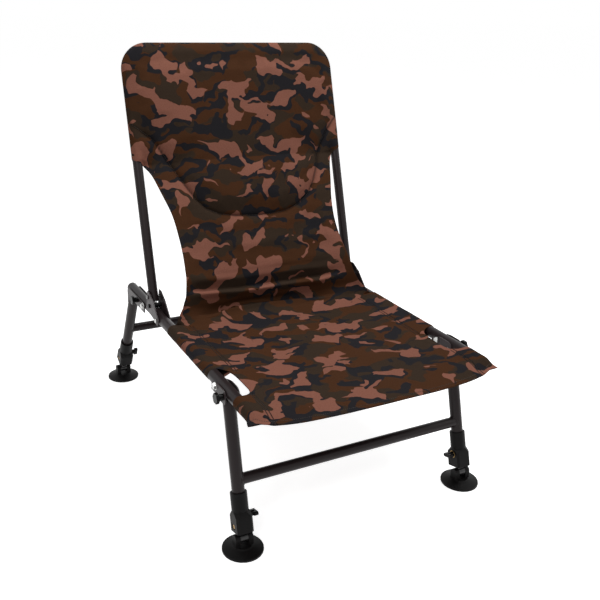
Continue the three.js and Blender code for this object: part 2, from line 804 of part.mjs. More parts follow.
// Pocket over the hoop, in the backrest's frame with y measured from the tubes' centre plane
function backCover() {
  const panel = new THREE.Shape();
  panel.moveTo(-backX, pocketFoot);
  panel.lineTo(backX, pocketFoot);
  panel.lineTo(backX, bowAlongTube - bowBendRadius);
  panel.absarc(backX - bowBendRadius, bowAlongTube - bowBendRadius, bowBendRadius, 0, Math.PI / 2, false);
  panel.absarc(bowBendRadius - backX, bowAlongTube - bowBendRadius, bowBendRadius, Math.PI / 2, Math.PI, false);
  const pad = new THREE.Shape();
  const padEdge = padHalfWidth - padBevel;
  pad.moveTo(-padEdge + padBevel, pocketFoot);
  pad.lineTo(padEdge - padBevel, pocketFoot);
  pad.lineTo(padEdge, pocketFoot + padCornerRadius / 2);
  pad.lineTo(padEdge, padTop - padTopRadius);
  pad.absarc(padEdge - padTopRadius, padTop - padTopRadius, padTopRadius, 0, Math.PI / 2, false);
  pad.absarc(padTopRadius - padEdge, padTop - padTopRadius, padTopRadius, Math.PI / 2, Math.PI, false);
  pad.lineTo(-padEdge, pocketFoot + padCornerRadius / 2);
  const upright = (shape, options, front) =>
    new THREE.ExtrudeGeometry(shape, options).rotateX(Math.PI / 2).translate(0, front, 0);
  const face = -backSleeveRadius;
  const panelSolid = upright(
    panel,
    { depth: pocketPanelThickness, bevelEnabled: false, curveSegments: hexSides },
    face + pocketPanelThickness,
  );
  const padSolid = upright(
    pad,
    { depth: padRise, bevelThickness: padRise, bevelSize: padBevel, bevelSegments: 2, curveSegments: hexSides },
    face + padRise,
  );
  const bore = hoop(backTubeRadius + clearance, pocketFoot - cutOverrun, tubeSides);
  const below = boxBetween(
    new THREE.Vector3(-frameSpacing, -frameSpacing, 0),
    new THREE.Vector3(frameSpacing, frameSpacing, pocketFoot),
  );
  return combined([panelSolid, padSolid, hoop(backSleeveRadius, pocketFoot, smallSides)], [bore, below]);
}

// Assembly
const chair = new THREE.Group();
const sides = [
  ["left", -1],
  ["right", 1],
];

const frontLegs = {
  towards: -1,
  splay: THREE.MathUtils.degToRad(frontSplayAngle),
  legReach: frontLegReach,
  pivotY: frontPivotY,
  end: frontBracketEnd,
  tip: frontBracketTip,
  rise: frontBracketRise,
  tabDrop: frontTabDrop,
  knobDrop: frontKnobDrop,
  barAlong: frontBarAlongLeg,
  legOut: frontLegOut,
  wingAngle: frontWingAngle,
  scalloped: false,
};
const rearLegs = {
  towards: 1,
  splay: THREE.MathUtils.degToRad(rearSplayAngle),
  legReach: rearLegReach,
  pivotY: rearPivotY,
  end: rearBracketEnd,
  tip: rearBracketTip,
  rise: rearBracketRise,
  tabDrop: rearTabDrop,
  knobDrop: rearKnobDrop,
  barAlong: rearBarAlongLeg,
  legOut: rearLegOut,
  wingAngle: rearWingAngle,
  scalloped: true,
};

function buildSeatFrame() {
  const frame = new THREE.Group();
  for (const [name, s] of sides) {
    const rail = mesh("seat_rail_" + name, seatRail(), powderCoat);
    rail.position.set(s * railX, 0, railHeight);
    const front = mesh("rail_front_plug_" + name, railPlug(), blackPlastic);
    front.position.set(s * railX, railFrontY - clearance, railHeight);
    const rear = mesh("rail_rear_plug_" + name, railPlug(), plateCoat);
    rear.position.set(s * railX, railRearY + clearance, railHeight);
    rear.rotation.z = Math.PI;
    const backBolt = mesh("back_pivot_bolt_" + name, buttonBolt(headSeat, boltRadius), brightSteel);
    backBolt.position.set(s * railX, backPivotY, railHeight);
    frame.add(rail, front, rear, backBolt);
    for (const [end, pivotY] of [["front", frontPivotY], ["rear", rearPivotY]]) {
      const bolt = mesh("leg_pivot_bolt_" + end + "_" + name, hexBolt(headSeat), brightSteel);
      bolt.position.set(s * railX, pivotY, railHeight);
      frame.add(bolt);
    }
  }
  return frame;
}

// One leg frame with its brackets, knobs, adjusters, inner legs and feet
function buildLegs(end, leg) {
  const { towards, splay, legReach, pivotY, barAlong, legOut, wingAngle, knobDrop } = leg;
  const footReach = legReach + (railHeight - footHingeHeight) * Math.tan(splay);
  const footY = pivotY + towards * footReach;
  const legs = new THREE.Group();
  const shape = bracketShape(leg);
  const leaning = new THREE.Group();
  leaning.position.set(0, footY, footHingeHeight);
  leaning.rotation.x = towards * splay;
  leaning.add(mesh(end + "_cross_bar", crossBar(barAlong), powderCoat));
  for (const [name, s] of sides) {
    const tag = end + "_" + name;
    for (const [layer, x] of [["outer", s * plateInner], ["inner", -s * plateInner]]) {
      const plate = mesh("leg_plate_" + tag + "_" + layer, sidePlate(shape, plateThickness), plateCoat);
      plate.position.set(s * railX + x - (x < 0 ? plateThickness : 0), pivotY, railHeight);
      legs.add(plate);
    }
    const knob = mesh("lock_knob_" + tag, starKnob(), blackPlastic);
    knob.position.set(s * railX, pivotY + towards * knobAlongBracket, railHeight - knobDrop);
    knob.rotation.z = s > 0 ? 0 : Math.PI;
    const foundFoot = mesh("foot_" + tag, foot(), blackPlastic);
    foundFoot.position.set(s * railX, footY, 0);
    legs.add(knob, foundFoot);
    const inboard = new THREE.Group();
    inboard.position.set(s * railX, 0, 0);
    inboard.rotation.z = s > 0 ? Math.PI : 0;
    inboard.add(mesh(end + "_leg_" + name, legTube(splay, legOut), powderCoat));
    const adjuster = mesh("leg_adjuster_" + tag, legAdjuster(), blackPlastic);
    const screw = mesh("adjuster_screw_" + tag, adjusterScrew(wingAngle), blackPlastic);
    adjuster.position.z = legOut;
    screw.position.z = legOut;
    inboard.add(adjuster, screw);
    inboard.add(mesh("leg_extension_" + tag, legExtension(), brightSteel));
    leaning.add(inboard);
  }
  legs.add(leaning);
  return legs;
}

function buildBackrest() {
  const backrest = new THREE.Group();
  backrest.position.set(0, backPivotY, railHeight);
  const leaning = new THREE.Group();
  leaning.rotation.x = -lean;
  const tubes = new THREE.Group();
  tubes.position.y = backTubeOffset;
  tubes.add(mesh("back_top_bow", topBow(), powderCoat));
  tubes.add(mesh("back_cover", backCover(), cloth));
  for (const [name, s] of sides) {
    const tube = mesh("back_tube_" + name, backTube(), powderCoat);
    const bolt = mesh("back_tube_bolt_" + name, buttonBolt(headSeat, boltRadius), brightSteel);
    tube.position.x = s * backX;
    bolt.position.set(s * railX, 0, backTubeBoltAlong);
    tubes.add(tube, bolt);
    for (const [layer, x] of [["outer", s * plateInner], ["inner", -s * plateInner]]) {
      const plate = mesh("back_plate_" + name + "_" + layer, sidePlate(backPlateShape(), plateThickness), plateCoat);
      plate.position.set(s * railX + x - (x < 0 ? plateThickness : 0), 0, 0);
      backrest.add(plate);
    }
    const stop = mesh("back_stop_bolt_" + name, stopBolt(), blackPlastic);
    stop.position.set(s * railX, stopSpacerY - backPivotY, stopHeight() - railHeight);
    backrest.add(stop);
  }
  leaning.add(tubes);
  backrest.add(leaning);
  return backrest;
}

const whole = coverSheet();
chair.add(buildSeatFrame());
chair.add(buildLegs("front", frontLegs));
chair.add(buildLegs("rear", rearLegs));
chair.add(buildBackrest());
chair.add(mesh("seat_cover", seatCover(whole), cloth));
chair.add(mesh("lower_back_cover", lowerBackCover(whole), cloth));

// The origin is the middle of the chair's footprint, on the floor.
const extent = new THREE.Box3().setFromObject(chair, true);
chair.position.set(0, -(extent.min.y + extent.max.y) / 2, 0);

export default chair;
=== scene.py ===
"""Looks of a low folding fishing chair: camouflage cover, padded back, coated tubes and moulded feet."""

import math

import bmesh
import bpy
from bpy.props import FloatProperty, FloatVectorProperty, IntProperty, PointerProperty
from bpy.types import Operator, Panel, PropertyGroup
from mathutils import Matrix, Vector, noise
from mathutils.bvhtree import BVHTree


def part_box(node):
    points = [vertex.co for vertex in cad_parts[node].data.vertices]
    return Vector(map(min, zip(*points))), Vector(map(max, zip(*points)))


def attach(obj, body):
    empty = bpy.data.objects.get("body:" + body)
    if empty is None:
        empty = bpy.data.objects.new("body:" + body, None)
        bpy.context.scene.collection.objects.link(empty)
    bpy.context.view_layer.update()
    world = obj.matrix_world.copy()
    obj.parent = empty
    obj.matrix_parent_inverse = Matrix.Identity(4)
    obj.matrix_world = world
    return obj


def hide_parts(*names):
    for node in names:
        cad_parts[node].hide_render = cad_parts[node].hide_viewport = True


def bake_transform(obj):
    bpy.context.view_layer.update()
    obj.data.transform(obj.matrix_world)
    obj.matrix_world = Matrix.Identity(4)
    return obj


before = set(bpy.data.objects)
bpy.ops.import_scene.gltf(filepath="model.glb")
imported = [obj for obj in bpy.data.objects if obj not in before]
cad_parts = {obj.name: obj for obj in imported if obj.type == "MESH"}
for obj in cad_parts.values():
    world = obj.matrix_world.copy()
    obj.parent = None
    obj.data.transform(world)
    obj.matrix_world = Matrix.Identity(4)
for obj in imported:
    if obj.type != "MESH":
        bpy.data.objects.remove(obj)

bl_info = {
    "name": "Folding Fishing Chair",
    "version": (1, 0, 0),
    "blender": (4, 5, 0),
    "location": "View3D > Sidebar > Chair",
    "description": "Dresses the frame of a folding chair in cloth, padding and finishes",
    "category": "Object",
}

# Places read from the frame
RAIL_LOW, RAIL_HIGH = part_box("seat_rail_right")
RAIL_X = (RAIL_LOW.x + RAIL_HIGH.x) / 2
RAIL_Z = (RAIL_LOW.z + RAIL_HIGH.z) / 2
RAIL_RADIUS = (RAIL_HIGH.x - RAIL_LOW.x) / 2
PIVOT_LOW, PIVOT_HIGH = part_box("back_pivot_bolt_right")
PIVOT_Y = (PIVOT_LOW.y + PIVOT_HIGH.y) / 2
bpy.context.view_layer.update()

# Points of one mesh that lie closer than this are one point
SAME_PLACE = 1e-5
SIDES = {"left": -1, "right": 1}
ENDS = ("front", "rear")
# From the rails' front ends back to the zero of all places along the seat
RAIL_FRONT = 0.018
# Direction up each pair of legs, and how far their inner legs are drawn out
LEG_UP = {"front": Vector((0, 0.2639, 0.9646)), "rear": Vector((0, -0.4462, 0.8949))}
LEG_OUT = {"front": 0.0, "rear": 0.020}
LEG_RADIUS = 0.0125
# Height of the feet's hinges over the ground
HINGE_HEIGHT = 0.026


def distance(name, about, default):
    """A length in metres that a user may change."""
    return FloatProperty(name=name, description=about, default=default, min=0.0, subtype="DISTANCE")


def share(name, about, default):
    """A number from 0 to 1 that a user may change."""
    return FloatProperty(name=name, description=about, default=default, min=0.0, max=1.0, subtype="FACTOR")


def angle(name, about, degrees):
    """An angle that a user may change."""
    return FloatProperty(name=name, description=about, default=math.radians(degrees), subtype="ANGLE")


def watts(name, about, default):
    """A lamp's power that a user may change."""
    return FloatProperty(name=name, description=about, default=default, min=0.0, subtype="POWER")


def paint(name, about, default):
    """A colour that a user may change."""
    return FloatVectorProperty(
        name=name, description=about, default=default, size=3, min=0.0, max=1.0, subtype="COLOR"
    )


class CoverSizes(PropertyGroup):
    """Sizes of the cloth cover."""

    cloth: distance("Cloth", "Thickness of one layer of cloth", 0.0014)
    sleeve: distance("Sleeve", "Gap between a rail and the sleeve round it", 0.0011)
    hem_corner: distance("Hem corner", "How far the front corners stand before the rails' zero", 0.048)
    hem_bow: distance("Hem bow", "How far the hem's middle stands before its corners", 0.0195)
    hem_drop: distance("Hem drop", "How far the hem hangs below the rails' tops", 0.016)
    hem_half_width: distance("Hem half width", "Half width of the sleeve pressed flat at the hem", 0.0192)
    hem_sag: distance("Hem sag", "Sag of the hem between its corners", 0.008)
    hem_deep: distance("Hem depth", "Depth of the doubled cloth at the hem", 0.0104)
    hem_stitch: distance("Hem stitches", "From the hem's edge to its stitches", 0.0092)
    seat_sag: distance("Seat sag", "Sag of the seat between the rails", 0.020)
    stitch_in: distance("Sleeve seam", "From a rail's axis to its sleeve's seam", 0.043)
    stitch_gap: distance("Seam gap", "Between the two rows of a double seam", 0.0064)
    opening_front: distance("Opening front", "Front end of the openings at the front brackets", 0.031)
    opening_rear: distance("Opening rear", "Rear end of the openings at the front brackets", 0.152)
    opening_depth: distance("Opening depth", "How far an opening cuts in from the rail's axis", 0.033)
    opening_round: distance("Opening corner", "Corner radius of the openings", 0.032)
    seat_rear: distance("Seat rear", "Where the seat cloth starts to rise to the back", 0.380)
    sleeve_rear: distance("Sleeve rear", "Rear end of the sleeves", 0.386)
    slack_back: distance("Slack back", "How far the lower back bows behind its edges", 0.046)
    slack_drop: distance("Slack drop", "How far the lower back hangs below its edges", 0.031)
    tube_radius: distance("Back tube radius", "Radius of the backrest tubes", 0.011)
    tube_x: distance("Back tube place", "Half the spacing of the backrest tubes", 0.2635)
    tube_offset: distance("Back tube offset", "From the pivot to the plane of the backrest tubes", 0.0432)
    back_lean: angle("Back lean", "Lean of the backrest", 17.4)
    bow_height: distance("Bow height", "Top of the backrest's bow along its tubes", 0.623)
    bow_bend: distance("Bow bend", "Bend radius of the bow", 0.052)
    pocket_foot: distance("Pocket foot", "Lower end of the pocket along the tubes", 0.354)
    pad_rise: distance("Pad rise", "How far the padding stands proud", 0.0105)
    pad_margin: distance("Margin rise", "How far the cloth round the pad stands proud", 0.0045)
    seam_depth: distance("Seam depth", "Depth of the pad's seam", 0.0058)
    seam_width: distance("Seam width", "Width of the dip beside the pad's seam", 0.0040)
    wrinkle: distance("Wrinkle", "Height of the cloth's soft wrinkles", 0.0013)
    fold: distance("Fold", "Depth of the creases above the seat", 0.0118)
    pressure: FloatProperty(name="Filling", description="Pressure of the pad's filling", default=3.0)
    swell: distance("Swell", "The most that the filling moves the cloth", 0.007)
    frames: IntProperty(name="Frames", description="Steps of the padding's simulation", default=18, min=1)
    stitch: distance("Stitch", "Length of a stitch", 0.0042)
    thread: distance("Thread", "Radius of the thread", 0.00045)


class FittingSizes(PropertyGroup):
    """Sizes of the small fittings on the legs."""

    adjuster_half: distance("Adjuster half width", "From a leg's axis to its adjuster's side", 0.017)
    window_up: distance("Window place", "From a pushed-in leg's hinge up to the window", 0.025)
    window_deep: distance("Window depth", "Depth of an adjuster's window", 0.0028)
    nut: distance("Nut radius", "Corner radius of the brass nuts", 0.0045)
    nut_bore: distance("Nut bore", "Bore radius of the brass nuts", 0.0021)
    nut_high: distance("Nut height", "How far the brass nuts stand up", 0.0021)
    screw_up: distance("Screw place", "From a pushed-in leg's hinge up to the screw", 0.042)
    boss: distance("Boss radius", "Radius of the brass inserts round the screws", 0.0080)
    boss_bore: distance("Boss bore", "Bore radius of the brass inserts", 0.0063)
    boss_high: distance("Boss height", "How far the brass inserts stand out", 0.0009)
    tongue: distance("Tongue", "How far from a foot's hinge its leg is black plastic", 0.0168)
    bead: distance("Bead", "Radius of a weld bead", 0.0015)
    bead_round: distance("Bead ring", "Radius of the ring of a weld bead", 0.0113)
    washer: distance("Washer radius", "Radius of the washers", 0.0080)
    washer_bore: distance("Washer bore", "Bore radius of the washers", 0.0048)
    washer_high: distance("Washer thickness", "Thickness of the washers", 0.0012)
    washer_sunk: distance("Washer depth", "How deep the washers lie in the brackets", 0.0009)


class ChairColours(PropertyGroup):
    """Colours of the finishes."""

    tan: paint("Tan", "Palest blotches of the cloth", (0.205, 0.083, 0.057))
    brown: paint("Brown", "Ground colour of the cloth", (0.052, 0.0205, 0.0085))
    bark: paint("Bark", "Darker brown of the cloth", (0.031, 0.0195, 0.0125))
    black: paint("Black", "Darkest blotches of the cloth", (0.0135, 0.0125, 0.0145))
    thread: paint("Thread", "Thread of the seams", (0.017, 0.0115, 0.009))
    coat: paint("Coat", "Powder coat of the tubes", (0.0195, 0.0136, 0.0141))
    plate: paint("Plate coat", "Powder coat of the brackets", (0.0365, 0.0262, 0.0274))
    plastic: paint("Plastic", "Black moulded parts", (0.0036, 0.0032, 0.0032))
    cap: paint("Cap", "Rear end caps of the rails", (0.085, 0.076, 0.078))
    steel: paint("Steel", "Bolts and washers", (0.50, 0.50, 0.49))
    leg: paint("Inner leg", "Inner legs", (0.42, 0.42, 0.43))
    brass: paint("Brass", "Clamp nuts", (0.36, 0.235, 0.10))


class StudioSizes(PropertyGroup):
    """Floor, lamps and camera."""

    floor: distance("Floor", "Half width of the floor", 40.0)
    floor_pale: share("Floor tone", "How pale the floor is", 0.86)
    floor_lift: share("Floor lift", "How much the seen floor is lifted towards white", 0.80)
    room: FloatProperty(name="Room", description="Strength of the room's even light", default=0.23)
    key: watts("Key", "Power of the main lamp", 26.0)
    fill: watts("Fill", "Power of the filling lamp", 11.0)
    top: watts("Top", "Power of the lamp overhead", 47.0)
    camera_place: FloatVectorProperty(
        name="Camera",
        description="Place of the camera",
        default=(-0.7883, RAIL_LOW.y + RAIL_FRONT - 1.1094, 0.9929),
        subtype="TRANSLATION",
    )
    camera_turn: angle("Turn", "Camera's turn to the right", 27.43)
    camera_dip: angle("Dip", "Camera's tilt below the horizon", 18.42)
    camera_roll: angle("Roll", "Camera's roll", 1.53)
    lens: FloatProperty(name="Lens", description="Focal length on a 36 mm sensor", default=46.59)
    shift_x: FloatProperty(name="Shift X", description="Sideways shift of the lens", default=0.0417)
    shift_y: FloatProperty(name="Shift Y", description="Upward shift of the lens", default=-0.0667)


# Cloth between the sleeves and the pocket: run, rise, half width, slack back and slack drop, as shares
SLING = [
    (0.0, 0.0, 0.971, 0.5, 0.71),
    (0.028, 0.027, 0.944, 0.8, 0.84),
    (0.065, 0.055, 0.915, 0.97, 0.93),
    (0.092, 0.085, 0.884, 1.03, 1.0),
    (0.112, 0.12, 0.864, 0.9, 0.6),
    (0.132, 0.16, 0.842, 0.87, 0.4),
    (0.161, 0.21, 0.827, 0.95, 0.34),
    (0.195, 0.26, 0.817, 0.82, 0.28),
    (0.235, 0.303, 0.808, 0.72, 0.26),
    (0.378, 0.422, 0.789, 0.55, 0.22),
    (0.512, 0.547, 0.789, 0.42, 0.18),
    (0.631, 0.679, 0.808, 0.3, 0.14),
    (0.765, 0.811, 0.857, 0.12, 0.06),
    (0.908, 0.94, 0.91, -0.08, -0.03),
    (1.0, 1.0, 0.964, -0.22, -0.1),
    (1.02, 1.03, 0.975, -0.22, -0.1),
]
# Its rows at the seat's seam and at the foot of the pocket
SLING_SEAM = 1
SLING_TOP = 14
# Length of cloth from one row to the next below the seam
SLING_RUN = 0.024
# How far the pocket's outer and inner faces stand off the back tubes
POCKET_OUTER = 0.0019
POCKET_INNER = 0.0014
# How far the double seams stand from the sleeve's own line, before and behind the openings
SEAM_SHIFT = {"front": 0.011, "rear": 0.002}
# How far they run on beside the openings, and how far before the sleeves' rear ends they stop
SEAM_PAST = {"front": 0.012, "rear": 0.015}
SEAM_END = 0.006
# Where the seat's straight rows start behind the hem's corners
HEM_CLEAR = 0.016
# Thickness of the hem in layers of cloth, and of the rest of the seat as a share of it
HEM_LAYERS = 2.2
PLAIN_SHARE = 0.45
# How far a sleeve's lower layer lies under the seat, in layers of cloth: at its seam, at an opening
UNDER_SEAM = 1.6
UNDER_OPENING = 2.4

# The pad's seam on the back, in metres across and along the tubes
PAD_SEAM = [
    (-0.276, 0.453), (-0.256, 0.437), (-0.224, 0.411), (-0.208, 0.386), (-0.191, 0.358), (-0.175, 0.325),
    (-0.160, 0.296), (-0.142, 0.265), (-0.119, 0.241), (-0.087, 0.226), (-0.047, 0.218), (-0.003, 0.215),
    (0.041, 0.214), (0.085, 0.218), (0.121, 0.231), (0.154, 0.254), (0.175, 0.282), (0.195, 0.319),
    (0.211, 0.365), (0.233, 0.402), (0.257, 0.434), (0.276, 0.452),
]

# Creases of the lower back over the seat, each in metres across and rows of the cloth up
UPPER_CREASE = [
    (-0.216, 5.66), (-0.179, 5.42), (-0.124, 5.20), (-0.071, 4.98), (0.089, 5.0), (0.141, 4.96),
    (0.178, 5.12),
]
LOWER_CREASE = [
    (-0.188, 1.10), (-0.157, 1.68), (-0.128, 2.14), (-0.099, 2.60), (-0.071, 2.98), (-0.018, 2.90),
    (0.035, 2.64), (0.087, 2.10), (0.137, 1.72), (0.184, 1.20), (0.218, 0.80),
]
# The lower rows of that cloth, which are creased and so lie closer together
CREASED_ROWS = 8

# How the pad's cloth behaves while its filling swells it
FILLED_CLOTH = {
    "quality": 5,
    "mass": 0.25,
    "tension_stiffness": 14,
    "compression_stiffness": 14,
    "shear_stiffness": 6,
    "bending_stiffness": 0.35,
    "shrink_min": -0.012,
}

# Where the lamps stand and how wide they are, and the place that they are turned to
LAMPS = {
    "key": ((-1.9, -1.9, 2.4), 1.2),
    "fill": ((2.4, -1.2, 1.7), 1.8),
    "top": ((0.3, -0.1, 3.0), 1.2),
}
LAMP_AIM = Vector((0, 0, 0.4))


def cover():
    return bpy.context.scene.chair_cover


def fittings():
    return bpy.context.scene.chair_fittings


def colours():
    return bpy.context.scene.chair_colours


def studio():
    return bpy.context.scene.chair_studio


# Numbers
def mix(low, high, part):
    """The number that lies a part of the way from low to high."""
    return low + (high - low) * part


def eased(value, low, high):
    """0 below low, 1 above high, and a smooth rise between."""
    part = min(1.0, max(0.0, (value - low) / (high - low)))
    return part * part * (3 - 2 * part)


def bell(value, width):
    """1 at zero, falling off on both sides over a width."""
    return math.exp(-((value / width) ** 2))


def smooth_row(rows, place):
    """The row at a place between rows, on a smooth curve through them."""
    first = min(max(int(place), 0), len(rows) - 2)
    part = place - first
    before = rows[max(first - 1, 0)]
    after = rows[min(first + 2, len(rows) - 1)]
    found = []
    for a, b, c, d in zip(before, rows[first], rows[first + 1], after):
        bend = (2 * a - 5 * b + 4 * c - d) * part + (3 * b - a - 3 * c + d) * part * part
        found.append(b + part * ((c - a) + bend) / 2)
    return found


def height_on(line, across):
    """Height of a line of (across, height) points at a place across."""
    if across <= line[0][0]:
        return line[0][1]
    for (x0, z0), (x1, z1) in zip(line, line[1:]):
        if across <= x1:
            return mix(z0, z1, (across - x0) / (x1 - x0))
    return line[-1][1]


def distance_to(line, point):
    """Distance from a point to a line of points."""
    nearest = math.inf
    for a, b in zip(line, line[1:]):
        span = b - a
        part = min(1.0, max(0.0, (point - a).dot(span) / span.length_squared))
        nearest = min(nearest, (point - a - span * part).length)
    return nearest


def lapped(value, above, below):
    """A bell with one width above zero and another below it."""
    return bell(value, above if value > 0 else below)


def softly(point, scale, seed):
    """Smooth noise from -1 to 1 at a place."""
    return noise.noise(point * scale + Vector((seed, 2 * seed, 3 * seed)))


# Places on the chair
def from_rails(x, y, z):
    """A point by its place along the rails and its height over the ground."""
    return Vector((x, RAIL_LOW.y + RAIL_FRONT + y, z))


def on_back(x, along, ahead=0.0):
    """A point along the back tubes and ahead of their plane."""
    sizes = cover()
    offset = sizes.tube_offset - ahead
    lean = sizes.back_lean
    y = PIVOT_Y + offset * math.cos(lean) + along * math.sin(lean)
    z = RAIL_Z - offset * math.sin(lean) + along * math.cos(lean)
    return Vector((x, y, z))


def back_place(point):
    """How far a point is along the back tubes, and how far ahead of their plane."""
    lean = cover().back_lean
    y, z = point.y - PIVOT_Y, point.z - RAIL_Z
    along = y * math.sin(lean) + z * math.cos(lean)
    behind = y * math.cos(lean) - z * math.sin(lean) - cover().tube_offset
    return along, -behind


# Seat cloth
def sleeve_radius():
    """Radius of a sleeve where it is round."""
    return RAIL_RADIUS + cover().sleeve


def hem_y(x):
    """Where the front hem runs along the seat."""
    sizes = cover()
    part = min(1.0, abs(x) / RAIL_X)
    return -sizes.hem_corner - sizes.hem_bow * (1 - part**7)


def seat_top(x, y):
    """Height of the seat cloth's upper layer."""
    sizes = cover()
    part = min(1.0, abs(x) / RAIL_X)
    run = (y - hem_y(x)) / (sizes.seat_rear - hem_y(x))
    hem_reach = 0.15
    lift = 1 - max(0.0, 1 - run / hem_reach) ** 1.5
    drop_middle = sizes.hem_drop * (1 - lift)
    drop_edge = sizes.hem_drop * (1 - eased(y, -sizes.hem_corner, -RAIL_FRONT - 0.004))
    drop = mix(drop_middle, drop_edge, part**8)
    sag = mix(sizes.hem_sag, sizes.seat_sag, lift)
    return RAIL_Z + sleeve_radius() - drop - sag * (1 - part**3)


def pressed(y):
    """How far the sleeve is pressed flat at a place along the rail."""
    return 1 - eased(y, -cover().hem_corner, -RAIL_FRONT - 0.008)


def sleeve_section(y):
    """Half width and half height of a sleeve."""
    flat = pressed(y)
    radius = sleeve_radius()
    return mix(radius, cover().hem_half_width, flat), mix(radius, 1.2 * cover().cloth, flat)


def sleeve_seam(y):
    """How far across a sleeve's seam lies at a place along the rail."""
    sizes = cover()
    front_end = sizes.opening_front + SEAM_PAST["front"]
    rear_end = sizes.opening_rear - SEAM_PAST["rear"]
    ahead = 1 - eased(y, front_end, rear_end)
    return RAIL_X - sizes.stitch_in + mix(-SEAM_SHIFT["rear"], SEAM_SHIFT["front"], ahead)


def seat_wrinkles(x, y):
    """Height of the seat's small folds: puckers at the seams, soft waves, and the seams' dip."""
    sizes = cover()
    seam = sleeve_seam(y)
    near_seam = bell(abs(x) - seam - 0.004, width=0.014)
    pucker = 0.35 * near_seam * softly(Vector((x * 0.6, y, 0)), scale=62, seed=3.1)
    broad = softly(Vector((x, y * 1.3, 0)), scale=15, seed=5.7) * (1 - (abs(x) / RAIL_X) ** 2)
    rear = eased(y, 0.27, 0.38) * softly(Vector((x * 0.45, y, 0)), scale=46, seed=8.3) * 1.5
    from_rows = abs(x) - seam - sizes.stitch_gap / 2
    dip = -1.1 * bell(from_rows, width=0.0042) * (1 - 0.5 * pressed(y))
    return sizes.wrinkle * (pucker + 0.7 * broad + rear + dip)


def seat_point(flat, y):
    """A point of the seat cloth by its place on the flat cloth: across, over the rail and back under."""
    sizes = cover()
    side = 1 if flat >= 0 else -1
    run = abs(flat)
    wrap = math.pi * sleeve_radius()
    if run <= RAIL_X:
        z = seat_top(run, y) + seat_wrinkles(side * run, y) * (1 - (run / RAIL_X) ** 12)
        return from_rails(side * run, y, z)
    wide, high = sleeve_section(y)
    centre = seat_top(RAIL_X, y) - high
    if run <= RAIL_X + wrap:
        turn = math.pi / 2 - math.pi * (run - RAIL_X) / wrap
        waver = softly(Vector((0, y, turn * 0.02)), scale=52, seed=1.7)
        ripple = sizes.wrinkle * 0.45 * waver * (1 - pressed(y))
        x = RAIL_X + (wide + ripple) * math.cos(turn)
        return from_rails(side * x, y, centre + (high + ripple) * math.sin(turn))
    under = run - RAIL_X - wrap
    x = RAIL_X - under
    layer = UNDER_SEAM * sizes.cloth
    if under >= sizes.stitch_in:
        return from_rails(side * x, y, seat_top(x, y) - layer)
    join = seat_top(RAIL_X - sizes.stitch_in, y) - layer
    return from_rails(side * x, y, mix(centre - high, join, (under / sizes.stitch_in) ** 2))


def opening_edge(y):
    """Where the cloth's upper layer ends across at an opening, or None away from it."""
    sizes = cover()
    if not sizes.opening_front < y < sizes.opening_rear:
        return None
    fold = fold_line()
    inner = RAIL_X - sizes.opening_depth
    corner = sizes.opening_round
    from_end = min(y - sizes.opening_front, sizes.opening_rear - y)
    if from_end >= corner:
        return inner
    swing = math.sqrt(max(0.0, corner**2 - (corner - from_end) ** 2))
    across = inner + corner - swing
    return min(fold, across + (fold - inner - corner) * bell(from_end, 0.0009))


def fold_line():
    """Place on the flat cloth where a sleeve turns under its rail."""
    return RAIL_X + math.pi * sleeve_radius() / 2


def rows_between(low, high, step):
    """Even places from low up to high, which isn't one of them."""
    count = max(1, round((high - low) / step))
    return [mix(low, high, k / count) for k in range(count)]


def seat_rows():
    """Places along the seat, closer together at the hem and round the openings."""
    sizes = cover()
    front, rear, corner = sizes.opening_front, sizes.opening_rear, sizes.opening_round
    near = [0.0, 0.0004, 0.0012, 0.0026, 0.0046, 0.0074, 0.011, 0.0155, 0.021]
    hem = [("hem", value) for value in (0.0, 0.0015, 0.005, 0.0095, 0.0112)]
    plain = rows_between(-sizes.hem_corner + HEM_CLEAR, front, 0.0062)
    plain += [front + value for value in near]
    plain += rows_between(front + corner, rear - corner, 0.007)
    plain += [rear - value for value in reversed(near)]
    plain += rows_between(rear + 0.006, sizes.seat_rear, 0.0072) + [sizes.seat_rear]
    return hem + [("seat", value) for value in plain]


def sling_place(x, row):
    """A point of the cloth between sleeves and pocket, at a place in its rows."""
    sizes = cover()
    run, rise, wide, back, drop = smooth_row(SLING, row)
    foot = from_rails(0, sizes.seat_rear, RAIL_Z + sleeve_radius())
    head = on_back(0, sizes.pocket_foot)
    part = min(1.0, abs(x) / (wide * RAIL_X))
    middle = 1 - part**3
    y = mix(foot.y, head.y, run) + back * sizes.slack_back * middle
    z = mix(foot.z, head.z, rise) - drop * sizes.slack_drop * middle
    return Vector((x, y, z))


def sling_half_width(row):
    """Half the width of the cloth between sleeves and pocket."""
    return smooth_row(SLING, row)[2] * RAIL_X


# Making and finishing meshes
def new_piece(name, bm, finish, smooth=True):
    """An object at the origin from a bmesh."""
    mesh = bpy.data.meshes.new(name)
    bm.to_mesh(mesh)
    bm.free()
    made = bpy.data.objects.new(name, mesh)
    bpy.context.scene.collection.objects.link(made)
    mesh.materials.append(finish)
    mesh.polygons.foreach_set("use_smooth", [smooth] * len(mesh.polygons))
    return made


def cloth_grid(columns, rows, place):
    """A grid of cloth: place(column, row) gives each crossing's point and its place on the flat cloth."""
    bm = bmesh.new()
    bmesh.ops.create_grid(bm, x_segments=columns, y_segments=rows, size=0.5)
    flat = bm.verts.layers.float_vector.new("flat_place")
    for vert in bm.verts:
        column = round((vert.co.x + 0.5) * columns)
        row = round((vert.co.y + 0.5) * rows)
        vert.co, vert[flat] = place(column, row)
    return bm


